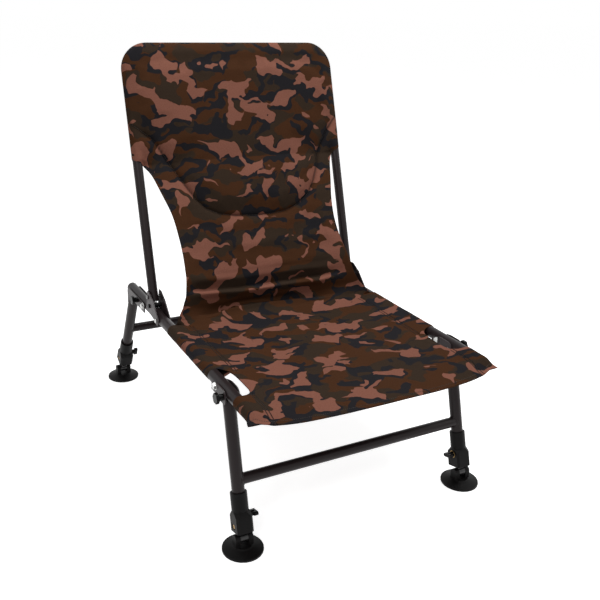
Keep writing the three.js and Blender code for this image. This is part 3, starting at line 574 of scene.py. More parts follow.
def joined(parts):
    """Several bmeshes as one, with their shared borders merged."""
    whole = bmesh.new()
    mesh = bpy.data.meshes.new("cloth parts")
    for part in parts:
        part.to_mesh(mesh)
        part.free()
        whole.from_mesh(mesh)
    bpy.data.meshes.remove(mesh)
    bmesh.ops.remove_doubles(whole, verts=whole.verts, dist=SAME_PLACE)
    return whole


def settle(piece):
    """Applies the piece's modifiers."""
    graph = bpy.context.evaluated_depsgraph_get()
    mesh = bpy.data.meshes.new_from_object(piece.evaluated_get(graph))
    piece.modifiers.clear()
    old = piece.data
    piece.data = mesh
    bpy.data.meshes.remove(old)
    mesh.name = piece.name


def thicken(piece, thickness, group=None):
    """Gives the piece a cloth's thickness, the whole of it only where its group says."""
    wall = piece.modifiers.new("Thickness", "SOLIDIFY")
    wall.thickness = thickness
    wall.offset = -1.0
    wall.use_even_offset = False
    wall.use_rim = True
    if group:
        wall.vertex_group = group
        wall.thickness_vertex_group = PLAIN_SHARE


def smoothen(piece):
    """Rounds the piece between the points of its grid."""
    finer = piece.modifiers.new("Smooth", "SUBSURF")
    finer.levels = finer.render_levels = 1


def face_up(piece, towards):
    """Turns a sheet so that its faces look along a direction."""
    total = Vector((0, 0, 0))
    for face in piece.data.polygons:
        total += face.normal * face.area
    if total.dot(Vector(towards)) < 0:
        piece.data.flip_normals()


class Number:
    """A number socket, so that a material's sums read as plain expressions."""

    def __init__(self, finish, socket):
        self.finish = finish
        self.socket = socket

    def sum(self, operation, *values, clamp=False):
        settings = {"operation": operation, "use_clamp": clamp}
        return self.finish.node("ShaderNodeMath", settings, dict(enumerate(values)))

    def __add__(self, other):
        return self.sum("ADD", self, other)

    __radd__ = __add__

    def __sub__(self, other):
        return self.sum("SUBTRACT", self, other)

    def __rsub__(self, other):
        return self.sum("SUBTRACT", other, self)

    def __mul__(self, other):
        return self.sum("MULTIPLY", self, other)

    __rmul__ = __mul__

    def clamped(self):
        return self.sum("ADD", self, 0.0, clamp=True)

    def wave(self):
        return self.sum("SINE", self)

    def __abs__(self):
        return self.sum("ABSOLUTE", self)

    def larger(self, other):
        return self.sum("MAXIMUM", self, other)

    def smaller(self, other):
        return self.sum("MINIMUM", self, other)

    def above(self, edge, sharpness):
        """1 where the number is over an edge, 0 where it is under it, with a narrow slope."""
        return ((self - edge) * sharpness).clamped()


class Shading:
    """The nodes of a material or of the world."""

    def __init__(self, owner):
        owner.use_nodes = True
        self.tree = owner.node_tree

    def node(self, kind, settings=None, values=None, output=0):
        """A node with its settings, then its sockets' values or links, as one of its outputs."""
        made = self.tree.nodes.new(kind)
        for name, value in (settings or {}).items():
            setattr(made, name, value)
        for socket, value in (values or {}).items():
            if isinstance(value, Number):
                self.tree.links.new(value.socket, made.inputs[socket])
            else:
                made.inputs[socket].default_value = value
        return Number(self, made.outputs[output])

    def place(self):
        return self.node("ShaderNodeTexCoord", output="Object")

    def flat_place(self):
        return self.node("ShaderNodeAttribute", {"attribute_name": "flat_place"}, output="Vector")

    def moved(self, place, offset=(0, 0, 0), stretch=(1, 1, 1)):
        return self.node("ShaderNodeMapping", None, {"Vector": place, "Location": offset, "Scale": stretch})

    def cloudy(self, place, scale, detail=2.0, roughness=0.5, output=0):
        values = {"Vector": place, "Scale": scale, "Detail": detail, "Roughness": roughness}
        return self.node("ShaderNodeTexNoise", None, values, output)

    def blended(self, part, first, second, blend="MIX"):
        """Two colours mixed."""
        settings = {"data_type": "RGBA", "blend_type": blend}
        return self.node("ShaderNodeMix", settings, {0: part, 6: first, 7: second}, 2)

    def vector(self, operation, first, second):
        return self.node("ShaderNodeVectorMath", {"operation": operation}, {0: first, 1: second})

    def parts(self, vector):
        """A vector's three numbers."""
        split = self.node("ShaderNodeSeparateXYZ", None, {0: vector}).socket.node
        return [Number(self, socket) for socket in split.outputs]

    def seen(self):
        """1 for the rays by which the camera sees a backdrop, straight or in gloss and glass."""
        rays = self.node("ShaderNodeLightPath").socket.node.outputs
        camera, gloss, glass = (
            Number(self, rays[name]) for name in ("Is Camera Ray", "Is Glossy Ray", "Is Transmission Ray")
        )
        return camera.larger(gloss).larger(glass)


class Finish(Shading):
    """One material and its surface."""

    def __init__(self, name, **fixed):
        self.material = bpy.data.materials.new(name)
        super().__init__(self.material)
        self.surface = self.tree.nodes["Principled BSDF"]
        for socket, value in fixed.items():
            self.surface.inputs[socket.replace("_", " ")].default_value = value

    def wear(self, socket, value):
        """Feeds one of the surface's sockets."""
        self.tree.links.new(value.socket, self.surface.inputs[socket])

    def bumped(self, height, strength, depth):
        """Gives the surface a fine relief."""
        values = {"Height": height, "Strength": strength, "Distance": depth}
        self.wear("Normal", self.node("ShaderNodeBump", None, values))


def opaque(colour, part=1.0):
    """A colour for a socket, made paler or darker."""
    return (*(part * value for value in colour), 1.0)


def ragged(finish, place):
    """Places on the flat cloth pushed about at two scales, so that blotches get ragged outlines."""
    pushes = []
    for scale, reach in ((12, (0.07, 0.05, 0.0)), (34, (0.042, 0.032, 0.0))):
        cloud = finish.cloudy(place, scale, detail=1.0, output="Color")
        push = finish.vector("SUBTRACT", cloud, (0.5, 0.5, 0.5))
        pushes.append(finish.vector("MULTIPLY", push, reach))
    return finish.vector("ADD", place, finish.vector("ADD", *pushes))


def branches(finish, place, offset, stretch, scales, reach, widest):
    """Positive inside winding bands that taper to points where a slow cloud thins out."""
    cloud = finish.cloudy(finish.moved(place, offset, stretch), scales[0], detail=0.0)
    turned_offset = (offset[1], offset[2], offset[0])
    vein = finish.cloudy(finish.moved(place, turned_offset, stretch), scales[1], detail=0.0)
    return ((cloud - reach) * 1.5).smaller(widest) - abs(vein - 0.5)


def printed(finish, place):
    """The cloth's print: tan and black branches over brown and bark."""
    tones = colours()
    torn = ragged(finish, place)
    outline = 220
    bands = {"offset": (7.7, 3.1, 5.0), "stretch": (0.9, 1.15, 1), "scales": (18.0, 24.0)}
    tan = branches(finish, torn, **bands, reach=0.508, widest=0.155).above(0.006, outline)
    # Black lies beside some of the tan, and in branches of its own
    shifted = finish.vector("ADD", torn, (0.004, 0.012, 0))
    beside = branches(finish, shifted, **bands, reach=0.498, widest=0.16).above(0.004, outline)
    picked = finish.cloudy(finish.moved(place, (2.9, 8.8, 1.5)), 9.0, detail=0.0).above(0.47, 120)
    bands = {"offset": (3.3, 9.4, 1.2), "stretch": (0.8, 1.3, 1), "scales": (14.0, 20.0)}
    lone = branches(finish, torn, **bands, reach=0.472, widest=0.104).above(0.004, outline)
    black = (beside * picked).larger(lone)
    patches = finish.moved(torn, (1.3, 0.4, 2.0), (0.75, 1.3, 1))
    bark = finish.cloudy(patches, 16.0, detail=0.0).above(0.51, 60)
    ground = finish.blended(bark, opaque(tones.brown), opaque(tones.bark))
    darkened = finish.blended(black, ground, opaque(tones.black))
    return finish.blended(tan, darkened, opaque(tones.tan))


def camouflage_cloth():
    """Woven cloth with its print, its seams pressed in, and painted shade darkening the seams' lines."""
    finish = Finish("camouflage cloth", Roughness=0.86, Specular_IOR_Level=0.06)
    place = finish.flat_place()
    uneven = finish.cloudy(place, 5.0, detail=3.0, roughness=0.6)
    fleck = finish.cloudy(place, 560, detail=1.0)
    mottle = finish.cloudy(place, 250, roughness=0.6)
    # Painted shade along the pad's seam, read from the seam_line attribute
    pad_seam_shade = finish.node("ShaderNodeAttribute", {"attribute_name": "seam_line"}, output="Fac")
    seams = sleeve_seam_shade(finish, place).larger(pad_seam_shade)
    # The seams' lines darken the colour: painted shade of their grooves, and partly the dark thread's own
    # colour
    tone = (0.58 + 0.24 * uneven + 0.34 * fleck + 0.34 * mottle) * (1 - 0.86 * seams)
    shade = finish.node("ShaderNodeCombineXYZ", None, {0: tone, 1: tone, 2: tone})
    finish.wear("Base Color", finish.blended(1.0, printed(finish, place), shade, "MULTIPLY"))
    across, along, _ = finish.parts(place)
    yarn = 0.0011
    weave = (across * (math.tau / yarn)).wave() * (along * (math.tau / yarn)).wave()
    finish.bumped(weave * 0.5 + fleck - 2.5 * seams, strength=0.32, depth=0.0004)
    finish.wear("Roughness", 0.80 + 0.12 * uneven)
    return finish.material


def sleeve_seam_shade(finish, place):
    """1 along the lines of the sleeves' double seams on the flat cloth: a mask for the painted shade of
    their grooves, and for their bump.
    """
    sizes = cover()
    across, along, _ = finish.parts(place)
    across = abs(across)
    cut = 500

    def pair(first):
        rows = [(1.8 - abs(across - at) * 1100).clamped() for at in (first, first + sizes.stitch_gap)]
        return rows[0].larger(rows[1])

    seam = RAIL_X - sizes.stitch_in
    rear = pair(seam - SEAM_SHIFT["rear"]) * along.above(sizes.opening_rear - SEAM_PAST["rear"], cut)
    rear = rear * (sizes.sleeve_rear - along).above(SEAM_END, cut)
    front = pair(seam + SEAM_SHIFT["front"])
    return rear + front * (sizes.opening_front - along).above(-SEAM_PAST["front"], cut)


def sewing_thread():
    """Twisted thread of the seams."""
    finish = Finish("sewing thread", Roughness=0.7)
    fibres = finish.cloudy(finish.moved(finish.place(), stretch=(1, 3, 1)), 1600)
    tone = colours().thread
    finish.wear("Base Color", finish.blended(fibres.above(0.45, 6), opaque(tone), opaque(tone, 1.9)))
    finish.bumped(fibres, strength=0.4, depth=0.0002)
    return finish.material


def powder_coat(name, colour, roughness):
    """Baked coat with a fine orange peel and a few rubbed places."""
    finish = Finish(name, Roughness=roughness, Specular_IOR_Level=0.17)
    place = finish.place()
    peel = finish.cloudy(place, 620)
    cloud = finish.cloudy(place, 16, detail=3.0, roughness=0.6)
    rubbed = finish.cloudy(finish.moved(place, (3, 1, 2)), 75, detail=4.0, roughness=0.7).above(0.66, 9)
    worn = finish.blended(rubbed * 0.35, opaque(colour), opaque(colour, 1.7))
    finish.wear("Base Color", finish.blended(cloud * 0.4, worn, opaque(colour, 0.72)))
    finish.wear("Roughness", roughness - 0.05 + 0.14 * cloud - 0.05 * rubbed)
    finish.bumped(peel, strength=0.12, depth=0.0003)
    return finish.material


def moulded_plastic(name, colour, roughness, grain=0.25):
    """Moulded plastic with a spark-eroded grain and a few scuffs."""
    finish = Finish(name, Roughness=roughness, Specular_IOR_Level=0.10)
    place = finish.place()
    pits = finish.cloudy(place, 1150, roughness=0.6)
    cloud = finish.cloudy(place, 34, detail=3.0, roughness=0.6)
    drawn_out = finish.moved(place, (1, 5, 2), (1, 1, 3))
    scuffs = finish.cloudy(drawn_out, 120, detail=4.0, roughness=0.75).above(0.64, 10)
    dusty = finish.blended(scuffs * 0.4, opaque(colour), opaque(colour, 2.6))
    finish.wear("Base Color", finish.blended(cloud * 0.3, dusty, opaque(colour, 1.7)))
    finish.wear("Roughness", roughness - 0.06 + 0.16 * cloud + 0.1 * scuffs)
    finish.bumped(pits, strength=grain, depth=0.00025)
    return finish.material


def bare_metal(finish, colour, stretch=(1, 1, 1)):
    """Colour of plated or drawn metal, its slow cloud and its fine lines."""
    place = finish.place()
    lines = finish.cloudy(finish.moved(place, stretch=stretch), 420, detail=3.0, roughness=0.6)
    cloud = finish.cloudy(place, 90, detail=3.0, roughness=0.6)
    finish.bumped(lines, strength=0.08, depth=0.0002)
    return finish.blended(cloud, opaque(colour, 0.78), opaque(colour, 1.12)), cloud, lines


def bright_metal(name, colour, roughness):
    """Plated or turned metal."""
    finish = Finish(name, Roughness=roughness, Metallic=1.0)
    tone, _, lines = bare_metal(finish, colour)
    finish.wear("Base Color", tone)
    finish.wear("Roughness", roughness - 0.08 + 0.2 * lines)
    return finish.material


def inner_leg():
    """Drawn tube, with black plastic near its foot's hinge."""
    tones = colours()
    finish = Finish("drawn inner leg")
    x, y, z = finish.parts(finish.place())
    # The legs of one side stand for both, because the chair is the same on either hand
    folded = finish.node("ShaderNodeCombineXYZ", None, {0: abs(x), 1: y, 2: z})
    away = [
        finish.node("ShaderNodeVectorMath", {"operation": "DISTANCE"}, {0: folded, 1: tuple(hinge)}, "Value")
        for hinge in (hinge_of(f"foot_{end}_right") for end in ENDS)
    ]
    metal = away[0].smaller(away[1]).above(fittings().tongue, 4000)
    drawn, cloud, lines = bare_metal(finish, tones.leg, stretch=(1, 1, 0.06))
    moulded = finish.blended(cloud, opaque(tones.plastic), opaque(tones.plastic, 1.6))
    finish.wear("Base Color", finish.blended(metal, moulded, drawn))
    finish.wear("Metallic", metal)
    finish.wear("Roughness", 0.24 + 0.16 * lines)
    return finish.material


FINISHES = {}


def finish_called(name):
    """A finish by its name, made when it is first wanted."""
    tones = colours()
    makers = {
        "cloth": camouflage_cloth,
        "thread": sewing_thread,
        "coat": lambda: powder_coat("tube coat", tones.coat, 0.30),
        "plate": lambda: powder_coat("bracket coat", tones.plate, 0.34),
        "plastic": lambda: moulded_plastic("black plastic", tones.plastic, 0.44),
        "glossy": lambda: moulded_plastic("glossy black plastic", tones.plastic, 0.24, 0.08),
        "cap": lambda: moulded_plastic("cap plastic", tones.cap, 0.42),
        "steel": lambda: bright_metal("zinc plate", tones.steel, 0.27),
        "dull steel": lambda: bright_metal("dull zinc plate", opaque(tones.steel, 0.35)[:3], 0.4),
        "leg": inner_leg,
        "brass": lambda: bright_metal("turned brass", tones.brass, 0.3),
    }
    if name not in FINISHES:
        FINISHES[name] = makers[name]()
    return FINISHES[name]


# The finish of each node whose name starts so; the other nodes are coated tubes
NODE_FINISHES = [
    ("leg_plate", "plate"),
    ("back_plate", "plate"),
    ("rail_front_plug", "plastic"),
    ("rail_rear_plug", "cap"),
    ("back_stop_bolt", "plastic"),
    ("leg_pivot_bolt", "steel"),
    ("back_pivot_bolt", "steel"),
    ("back_tube_bolt", "dull steel"),
    ("lock_knob", "glossy"),
    ("adjuster_screw", "glossy"),
    ("leg_adjuster", "plastic"),
    ("foot", "plastic"),
    ("leg_extension", "leg"),
]
# How far their edges are rounded, and the edges of the other nodes
ROUNDED = {"leg_adjuster": 0.0009, "foot": 0.0006, "lock_knob": 0.0007, "adjuster_screw": 0.0009}
PLAIN_ROUNDED = 0.0004
# Faces that lie flatter than this become one, and edges that are sharper are rounded
FLAT_ANGLE = math.radians(1.5)
EDGE_ANGLE = math.radians(34)


def box_middle(name):
    """Middle of a node's box."""
    low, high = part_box(name)
    return (low + high) / 2


def hinge_of(foot):
    """The hinge of a foot."""
    middle = box_middle(foot)
    return Vector((middle.x, middle.y, HINGE_HEIGHT))


class CHAIR_OT_frame_finishes(Operator):
    """Give every part of the frame its finish, round its edges and smooth its tubes"""

    bl_idname = "chair.frame_finishes"
    bl_label = "Frame finishes"

    def execute(self, context):
        for name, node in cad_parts.items():
            found = [finish for start, finish in NODE_FINISHES if name.startswith(start)]
            node.data.materials.clear()
            node.data.materials.append(finish_called(found[0] if found else "coat"))
            if name.endswith("_cover"):
                continue
            if node.data.has_custom_normals:
                context.view_layer.objects.active = node
                bpy.ops.mesh.customdata_custom_splitnormals_clear()
            node.data.polygons.foreach_set("use_smooth", [True] * len(node.data.polygons))
            weld = node.modifiers.new("Weld", "WELD")
            weld.merge_threshold = 2 * SAME_PLACE
            clean = node.modifiers.new("Flat faces", "DECIMATE")
            clean.decimate_type = "DISSOLVE"
            clean.angle_limit = FLAT_ANGLE
            widths = [width for start, width in ROUNDED.items() if name.startswith(start)]
            edges = node.modifiers.new("Edges", "BEVEL")
            edges.width = widths[0] if widths else PLAIN_ROUNDED
            edges.segments = 2
            edges.limit_method = "ANGLE"
            edges.angle_limit = EDGE_ANGLE
            edges.use_clamp_overlap = True
            normals = node.modifiers.new("Shading", "WEIGHTED_NORMAL")
            normals.keep_sharp = True
        return {"FINISHED"}


class SeatCloth:
    """The seat: an upper layer that runs on up to the back, and a lower layer under each sleeve."""

    def __init__(self):
        self.rows = seat_rows()
        self.first = len(self.rows)
        # Rows behind the seat, at the start of the back
        self.rise = [SLING_SEAM * k / 5 for k in range(1, 6)] + [SLING_SEAM + 0.3, SLING_SEAM + 0.6]
        # Even columns as far as inner, then a band of closer and closer ones up to the edge
        self.inner = 0.2
        self.columns = 26
        self.band = 15
        self.half = self.columns + self.band

    def edge_at(self, row):
        """Where the upper layer ends across."""
        if row >= self.first:
            return sling_half_width(self.rise[row - self.first])
        kind, value = self.rows[row]
        edge = None if kind == "hem" else opening_edge(value)
        return fold_line() if edge is None else edge

    def across(self, column, row):
        k = abs(column - self.half)
        side = 1 if column >= self.half else -1
        if k <= self.columns:
            return side * mix(0, self.inner, k / self.columns)
        part = 1 - (1 - (k - self.columns) / self.band) ** 1.25
        return side * mix(self.inner, self.edge_at(row), part)

    def along(self, flat, row):
        sizes = cover()
        kind, value = self.rows[row]
        x = min(abs(flat), RAIL_X)
        if kind == "hem":
            return hem_y(x) + value
        near_hem = 1 - eased(value, -sizes.hem_corner + HEM_CLEAR, sizes.opening_front)
        near_back = eased(value, sizes.seat_rear - 0.04, sizes.seat_rear)
        y = value + near_hem * (hem_y(x) + sizes.hem_corner)
        return y + near_back * (sizes.sleeve_rear - sizes.seat_rear) * eased(x, 0.2, 0.25)

    def upper(self, column, row):
        flat = self.across(column, row)
        if row < self.first:
            y = self.along(flat, row)
            return seat_point(flat, y), Vector((flat, y, 0))
        return self.rising(flat, self.rise[row - self.first])

    def rising(self, flat, place):
        """A point behind the seat, where the cloth turns up to the back."""
        sizes = cover()
        point = sling_place(flat, place)
        point.z += seat_wrinkles(flat, sizes.seat_rear) * max(0.0, 1 - place / SLING_SEAM)
        under_back = 0.0022
        point.y += under_back * eased(place, SLING_SEAM - 0.2, SLING_SEAM + 0.3)
        started = seat_point(min(max(flat, -RAIL_X), RAIL_X), self.along(flat, self.first - 1))
        point = started.lerp(point, eased(place, -0.4, 0.9))
        return point, Vector((flat, sizes.seat_rear + SLING_RUN * place, 0))

    def lower(self, side):
        """The lower layer of one sleeve, up against the upper one where that is open."""
        sizes = cover()
        fold = fold_line()
        columns = 15
        past_seam = 0.007
        reach = fold + math.pi * sleeve_radius() / 2 + sizes.stitch_in + past_seam

        def place(column, row):
            edge = self.edge_at(row)
            flat = side * mix(2 * fold - edge, reach, column / columns)
            y = self.along(flat, row)
            point = seat_point(flat, y)
            opened = eased(RAIL_X - sleeve_radius() - edge, 0.0, 0.014)
            lifted = seat_top(abs(point.x), y) - UNDER_OPENING * sizes.cloth
            point.z = mix(point.z, lifted, opened)
            return point, Vector((flat, y, 0))

        return cloth_grid(columns, self.first - 1, place)

    def whole(self):
        rows = self.first + len(self.rise) - 1
        return joined([cloth_grid(2 * self.half, rows, self.upper), self.lower(1), self.lower(-1)])


class CHAIR_OT_seat_cloth(Operator):
    """Make the seat cloth with its sleeves, openings and hem"""

    bl_idname = "chair.seat_cloth"
    bl_label = "Seat cloth"

    def execute(self, context):
        sizes = cover()
        bm = SeatCloth().whole()
        bmesh.ops.recalc_face_normals(bm, faces=bm.faces)
        piece = new_piece("seat_cloth", bm, finish_called("cloth"))
        # The layers face apart, so a face at the top of the middle tells which way is out
        top = max(piece.data.polygons, key=lambda face: face.center.z if abs(face.center.x) < 0.1 else -1)
        if top.normal.z < 0:
            piece.data.flip_normals()
        hem = piece.vertex_groups.new(name="hem")
        hem_end = RAIL_X - 0.02
        for vert in piece.data.vertices:
            from_hem = vert.co.y - from_rails(0, hem_y(min(abs(vert.co.x), RAIL_X)), 0).y
            doubled = from_hem < sizes.hem_deep and abs(vert.co.x) < hem_end
            hem.add([vert.index], 1.0 if doubled else 0.0, "REPLACE")
        thicken(piece, sizes.cloth * HEM_LAYERS, "hem")
        smoothen(piece)
        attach(piece, "seat_frame")
        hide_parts("seat_cover")
        return {"FINISHED"}


# Back cloth
def from_hoop(x, along):
    """How far a place on the pocket lies outside the hoop's centreline."""
    sizes = cover()
    corner_x = sizes.tube_x - sizes.bow_bend
    corner_up = sizes.bow_height - sizes.bow_bend
    if abs(x) > corner_x and along > corner_up:
        return math.hypot(abs(x) - corner_x, along - corner_up) - sizes.bow_bend
    return max(abs(x) - sizes.tube_x, along - sizes.bow_height)


def pocket_radius():
    """Radius of the pocket's surface round a back tube."""
    return cover().tube_radius + POCKET_OUTER


def pocket_half_width(along):
    """Half the width of the pocket, which opens from the lower cloth out over the tubes."""
    sizes = cover()
    radius = pocket_radius()
    corner_up = sizes.bow_height - sizes.bow_bend
    full = sizes.tube_x + radius
    if along > corner_up:
        bend = sizes.bow_bend + radius
        reach = math.sqrt(max(0.0, bend**2 - (along - corner_up) ** 2))
        return sizes.tube_x - sizes.bow_bend + reach
    opened = eased(along, sizes.pocket_foot, sizes.pocket_foot + 0.020)
    return mix(sling_half_width(SLING_TOP), full, math.sin(opened * math.pi / 2))


def round_tube(x, along):
    """Height of the pocket's half round section over the hoop."""
    out = max(0.0, from_hoop(x, along))
    return math.sqrt(max(0.0, pocket_radius() ** 2 - out**2))


def seam_line():
    """The pad's seam as points."""
    return [Vector(point) for point in PAD_SEAM]


def inside_pad(x, along):
    """True above the pad's seam."""
    return along > height_on(PAD_SEAM, x)


def pad_shape(x, along, edge, top, seam):
    """How far the padding stands out of the cloth at a place on the back."""
    sizes = cover()
    away = distance_to(seam, Vector((x, along)))
    if inside_pad(x, along):
        return sizes.pad_rise * (1 - bell(away, width=0.019)) * eased(min(edge, top), 0.004, 0.036)
    padded = eased(along, 0.09, 0.17)
    return sizes.pad_margin * (1 - bell(away, width=0.014)) * eased(edge, 0.002, 0.03) * padded


def sew_in(piece, seam):
    """Presses the pad's seam into the cloth, and stores at each point how dark its painted seam shade is."""
    sizes = cover()
    ahead = on_back(0, 0, 1) - on_back(0, 0)
    low = min(along for _, along in PAD_SEAM) - 4 * sizes.seam_width
    high = max(along for _, along in PAD_SEAM)
    line = piece.data.attributes.new("seam_line", "FLOAT", "POINT")
    for vert in piece.data.vertices:
        along, _ = back_place(vert.co)
        if low < along < high:
            away = distance_to(seam, Vector((vert.co.x, along)))
            edge = pocket_half_width(along) - abs(vert.co.x) if along > sizes.pocket_foot else 1.0
            depth = sizes.seam_depth * bell(away, sizes.seam_width) * eased(edge, 0.022, 0.036)
            vert.co -= ahead * depth
            # Painted shade of the seam's groove, with the dark line of its thread; the cloth darkens by this
            # seam_line attribute
            line.data[vert.index].value = 0.8 * bell(away, width=0.0026)


def back_rows():
    """Places up the back: rows of the lower cloth, then heights of the pocket."""
    sizes = cover()
    near, plain = 0.0032, 0.0058
    rows = []
    for start in range(SLING_SEAM, SLING_TOP):
        run = (sling_place(0.1, start + 1) - sling_place(0.1, start)).length
        count = max(1, round(run / (near if start < CREASED_ROWS else plain)))
        rows += [("sling", start + k / count) for k in range(count)]
    foot = sizes.pocket_foot
    opening = (0.0, 0.0022, 0.0046, 0.0072, 0.010, 0.0132, 0.017, 0.0215)
    heights = [foot + value for value in opening]
    top = sizes.bow_height + pocket_radius()
    curve = sizes.bow_bend + pocket_radius()
    heights += rows_between(foot + 0.027, top - curve, 0.0062)
    steps = 22
    heights += [top - curve + curve * math.sin(math.pi / 2 * k / steps) for k in range(steps)]
    # The last row stops short of the very top, where the cloth has no width left
    return rows + [("pocket", value) for value in heights + [top - 0.00002]]


def back_wrinkles(x, along, edge):
    """Height of the back's soft waves, and of the folds that are drawn across its lower cloth."""
    broad = softly(Vector((x, along * 1.2, 0)), scale=13, seed=11.3)
    drawn = softly(Vector((x, along * 3.1, 0)), scale=17, seed=4.9) * eased(0.34 - along, 0.0, 0.16)
    ripple = softly(Vector((x * 2.4, along, 0)), scale=26, seed=7.1)
    return cover().wrinkle * (broad * 1.2 + drawn * 1.7 + ripple * 0.4) * eased(edge, 0.0, 0.03)


def beyond(x, row, line):
    """How far up the cloth a place lies from a crease, at the same place across."""
    at = height_on(line, x)
    gap = (sling_place(x, row) - sling_place(x, at)).length
    return gap if row > at else -gap


def creases(x, row):
    """The folds of the lower back over the seat, with a roll of cloth between them."""
    upper = beyond(x, row, UPPER_CREASE)
    clear_above = 0.06
    if upper > clear_above:
        return 0.0
    lower = beyond(x, row, LOWER_CREASE)
    roll = 0.0062
    valley = lapped(upper, 0.0110, 0.0026) + 0.8 * lapped(lower, 0.0105, 0.0028)
    above = 0.5 * bell(upper - 0.024, width=0.0100)
    between = 0.75 * lapped(upper + roll, 0.0040, 0.0120) + 0.5 * lapped(lower + roll, 0.0040, 0.0120)
    reach = 1 - eased(abs(x + 0.01), 0.13, 0.215)
    return cover().fold * (above + between - valley) * reach


class BackCloth:
    """The front of the backrest as one cloth, from the seat to the top of the pocket."""

    def __init__(self):
        self.rows = back_rows()
        # Even columns as far as inner, then a band of closer and closer ones up to the edge
        self.inner = 0.14
        self.columns = 20
        self.band = 16
        self.half = self.columns + self.band
        self.seam = seam_line()
        self.run = self.runs()

    def half_width(self, row):
        kind, value = self.rows[row]
        return sling_half_width(value) if kind == "sling" else pocket_half_width(value)

    def across(self, column, row):
        k = abs(column - self.half)
        side = 1 if column >= self.half else -1
        if k <= self.columns:
            return side * self.inner * k / self.columns
        part = math.sin(math.pi / 2 * (k - self.columns) / self.band)
        part = mix((k - self.columns) / self.band, part, 0.6)
        return side * mix(self.inner, self.half_width(row), part)

    def bare(self, x, row):
        """The cloth before its padding and wrinkles."""
        kind, value = self.rows[row]
        sizes = cover()
        if kind == "sling":
            return sling_place(x, value)
        low = sling_place(x, SLING_TOP)
        _, ahead_low = back_place(low)
        ahead = round_tube(x, value)
        part = eased(value, sizes.pocket_foot - 0.004, sizes.pocket_foot + 0.05)
        inside = sizes.tube_radius + POCKET_INNER
        clear = math.sqrt(max(0.0, inside**2 - (abs(x) - sizes.tube_x) ** 2))
        return on_back(x, value, max(mix(ahead_low, ahead, part), min(clear, ahead)))

    def runs(self):
        """Length of cloth from the seat's seam up to each row."""
        total, found, last = 0.0, [], None
        for row in range(len(self.rows)):
            point = self.bare(0.1, row)
            if last is not None:
                total += (point - last).length
            found.append(total)
            last = point
        return found

    def normal(self, x, row):
        """Outward direction of the bare cloth."""
        low = max(row - 1, 0)
        high = min(row + 1, len(self.rows) - 1)
        step = 0.002
        side = self.bare(x + step, row) - self.bare(x - step, row)
        up = self.bare(x, high) - self.bare(x, low)
        return side.cross(up).normalized()

    def place(self, column, row):
        x = self.across(column, row)
        point = self.bare(x, row)
        along, _ = back_place(point)
        edge = self.half_width(row) - abs(x)
        top = self.run[-1] - self.run[row]
        rise = pad_shape(x, along, edge, top, self.seam)
        rise += back_wrinkles(x, along, min(edge, top))
        kind, value = self.rows[row]
        if kind == "sling":
            rise += creases(x, value)
        rise *= eased(self.run[row], -0.002, 0.016)
        if rise:
            # The cloth's direction is taken a little inside its edge
            rim = 0.004
            point += self.normal(x if edge > rim else x * (1 - rim / abs(x)), row) * rise
        return point, Vector((x, cover().seat_rear + SLING_RUN * SLING_SEAM + self.run[row], 0))


def blend_ends():
    """Two points: over the rails a little behind the seat, and on the back at the pocket's foot."""
    return from_rails(0, cover().seat_rear + 0.06, RAIL_Z + 0.012), on_back(0, cover().pocket_foot)


def looseness(point, seam):
    """How freely the filling moves a point of the back: not at all at its seam and its edges."""
    sizes = cover()
    along, _ = back_place(point)
    lower_cloth = 0.21
    wide = pocket_half_width(along) if along > sizes.pocket_foot else lower_cloth
    edge = wide - abs(point.x)
    top = sizes.bow_height - along
    away = distance_to(seam, Vector((point.x, along)))
    give = 1.0 if inside_pad(point.x, along) else 0.55
    free = give * eased(away, 0.004, 0.02) * eased(edge, 0.012, 0.04) * eased(top, 0.01, 0.05)
    return free * eased(along, 0.10, 0.16)


def fill(piece, loose):
    """Swells the piece with cloth simulation where its points are loose, and caps how far they move."""
    sizes = cover()
    scene = bpy.context.scene
    rest = [vert.co.copy() for vert in piece.data.vertices]
    held = piece.vertex_groups.new(name="held")
    for index, free in enumerate(loose):
        held.add([index], 1.0 - free, "REPLACE")
    cloth = piece.modifiers.new("Filling", "CLOTH")
    for name, value in FILLED_CLOTH.items():
        setattr(cloth.settings, name, value)
    cloth.settings.use_pressure = True
    cloth.settings.uniform_pressure_force = sizes.pressure
    cloth.settings.vertex_group_mass = "held"
    cloth.settings.effector_weights.gravity = 0
    cloth.collision_settings.use_collision = False
    cloth.point_cache.frame_start = 1
    cloth.point_cache.frame_end = sizes.frames
    for number in range(1, sizes.frames + 1):
        scene.frame_set(number)
    graph = bpy.context.evaluated_depsgraph_get()
    swollen = piece.evaluated_get(graph).data
    for vert, start, after in zip(piece.data.vertices, rest, swollen.vertices):
        step = after.co - start
        if step.length > sizes.swell:
            step *= sizes.swell / step.length
        vert.co = start + step
    piece.modifiers.remove(cloth)
    piece.vertex_groups.remove(held)
    scene.frame_set(1)


class CHAIR_OT_back_pad(Operator):
    """Make the padded front of the backrest, with its curved seam and the creases over the seat"""

    bl_idname = "chair.back_pad"
    bl_label = "Back pad"

    def execute(self, context):
        cloth = BackCloth()
        bm = cloth_grid(2 * cloth.half, len(cloth.rows) - 1, cloth.place)
        bmesh.ops.recalc_face_normals(bm, faces=bm.faces)
        piece = new_piece("back_pad", bm, finish_called("cloth"))
        face_up(piece, (0, -1, 0.2))
        thicken(piece, cover().cloth)
        settle(piece)
        fill(piece, [looseness(vert.co, cloth.seam) for vert in piece.data.vertices])
        smoothen(piece)
        settle(piece)
        sew_in(piece, cloth.seam)
        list(blend_ends())
        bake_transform(piece)
        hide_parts("lower_back_cover", "back_cover")
        return {"FINISHED"}


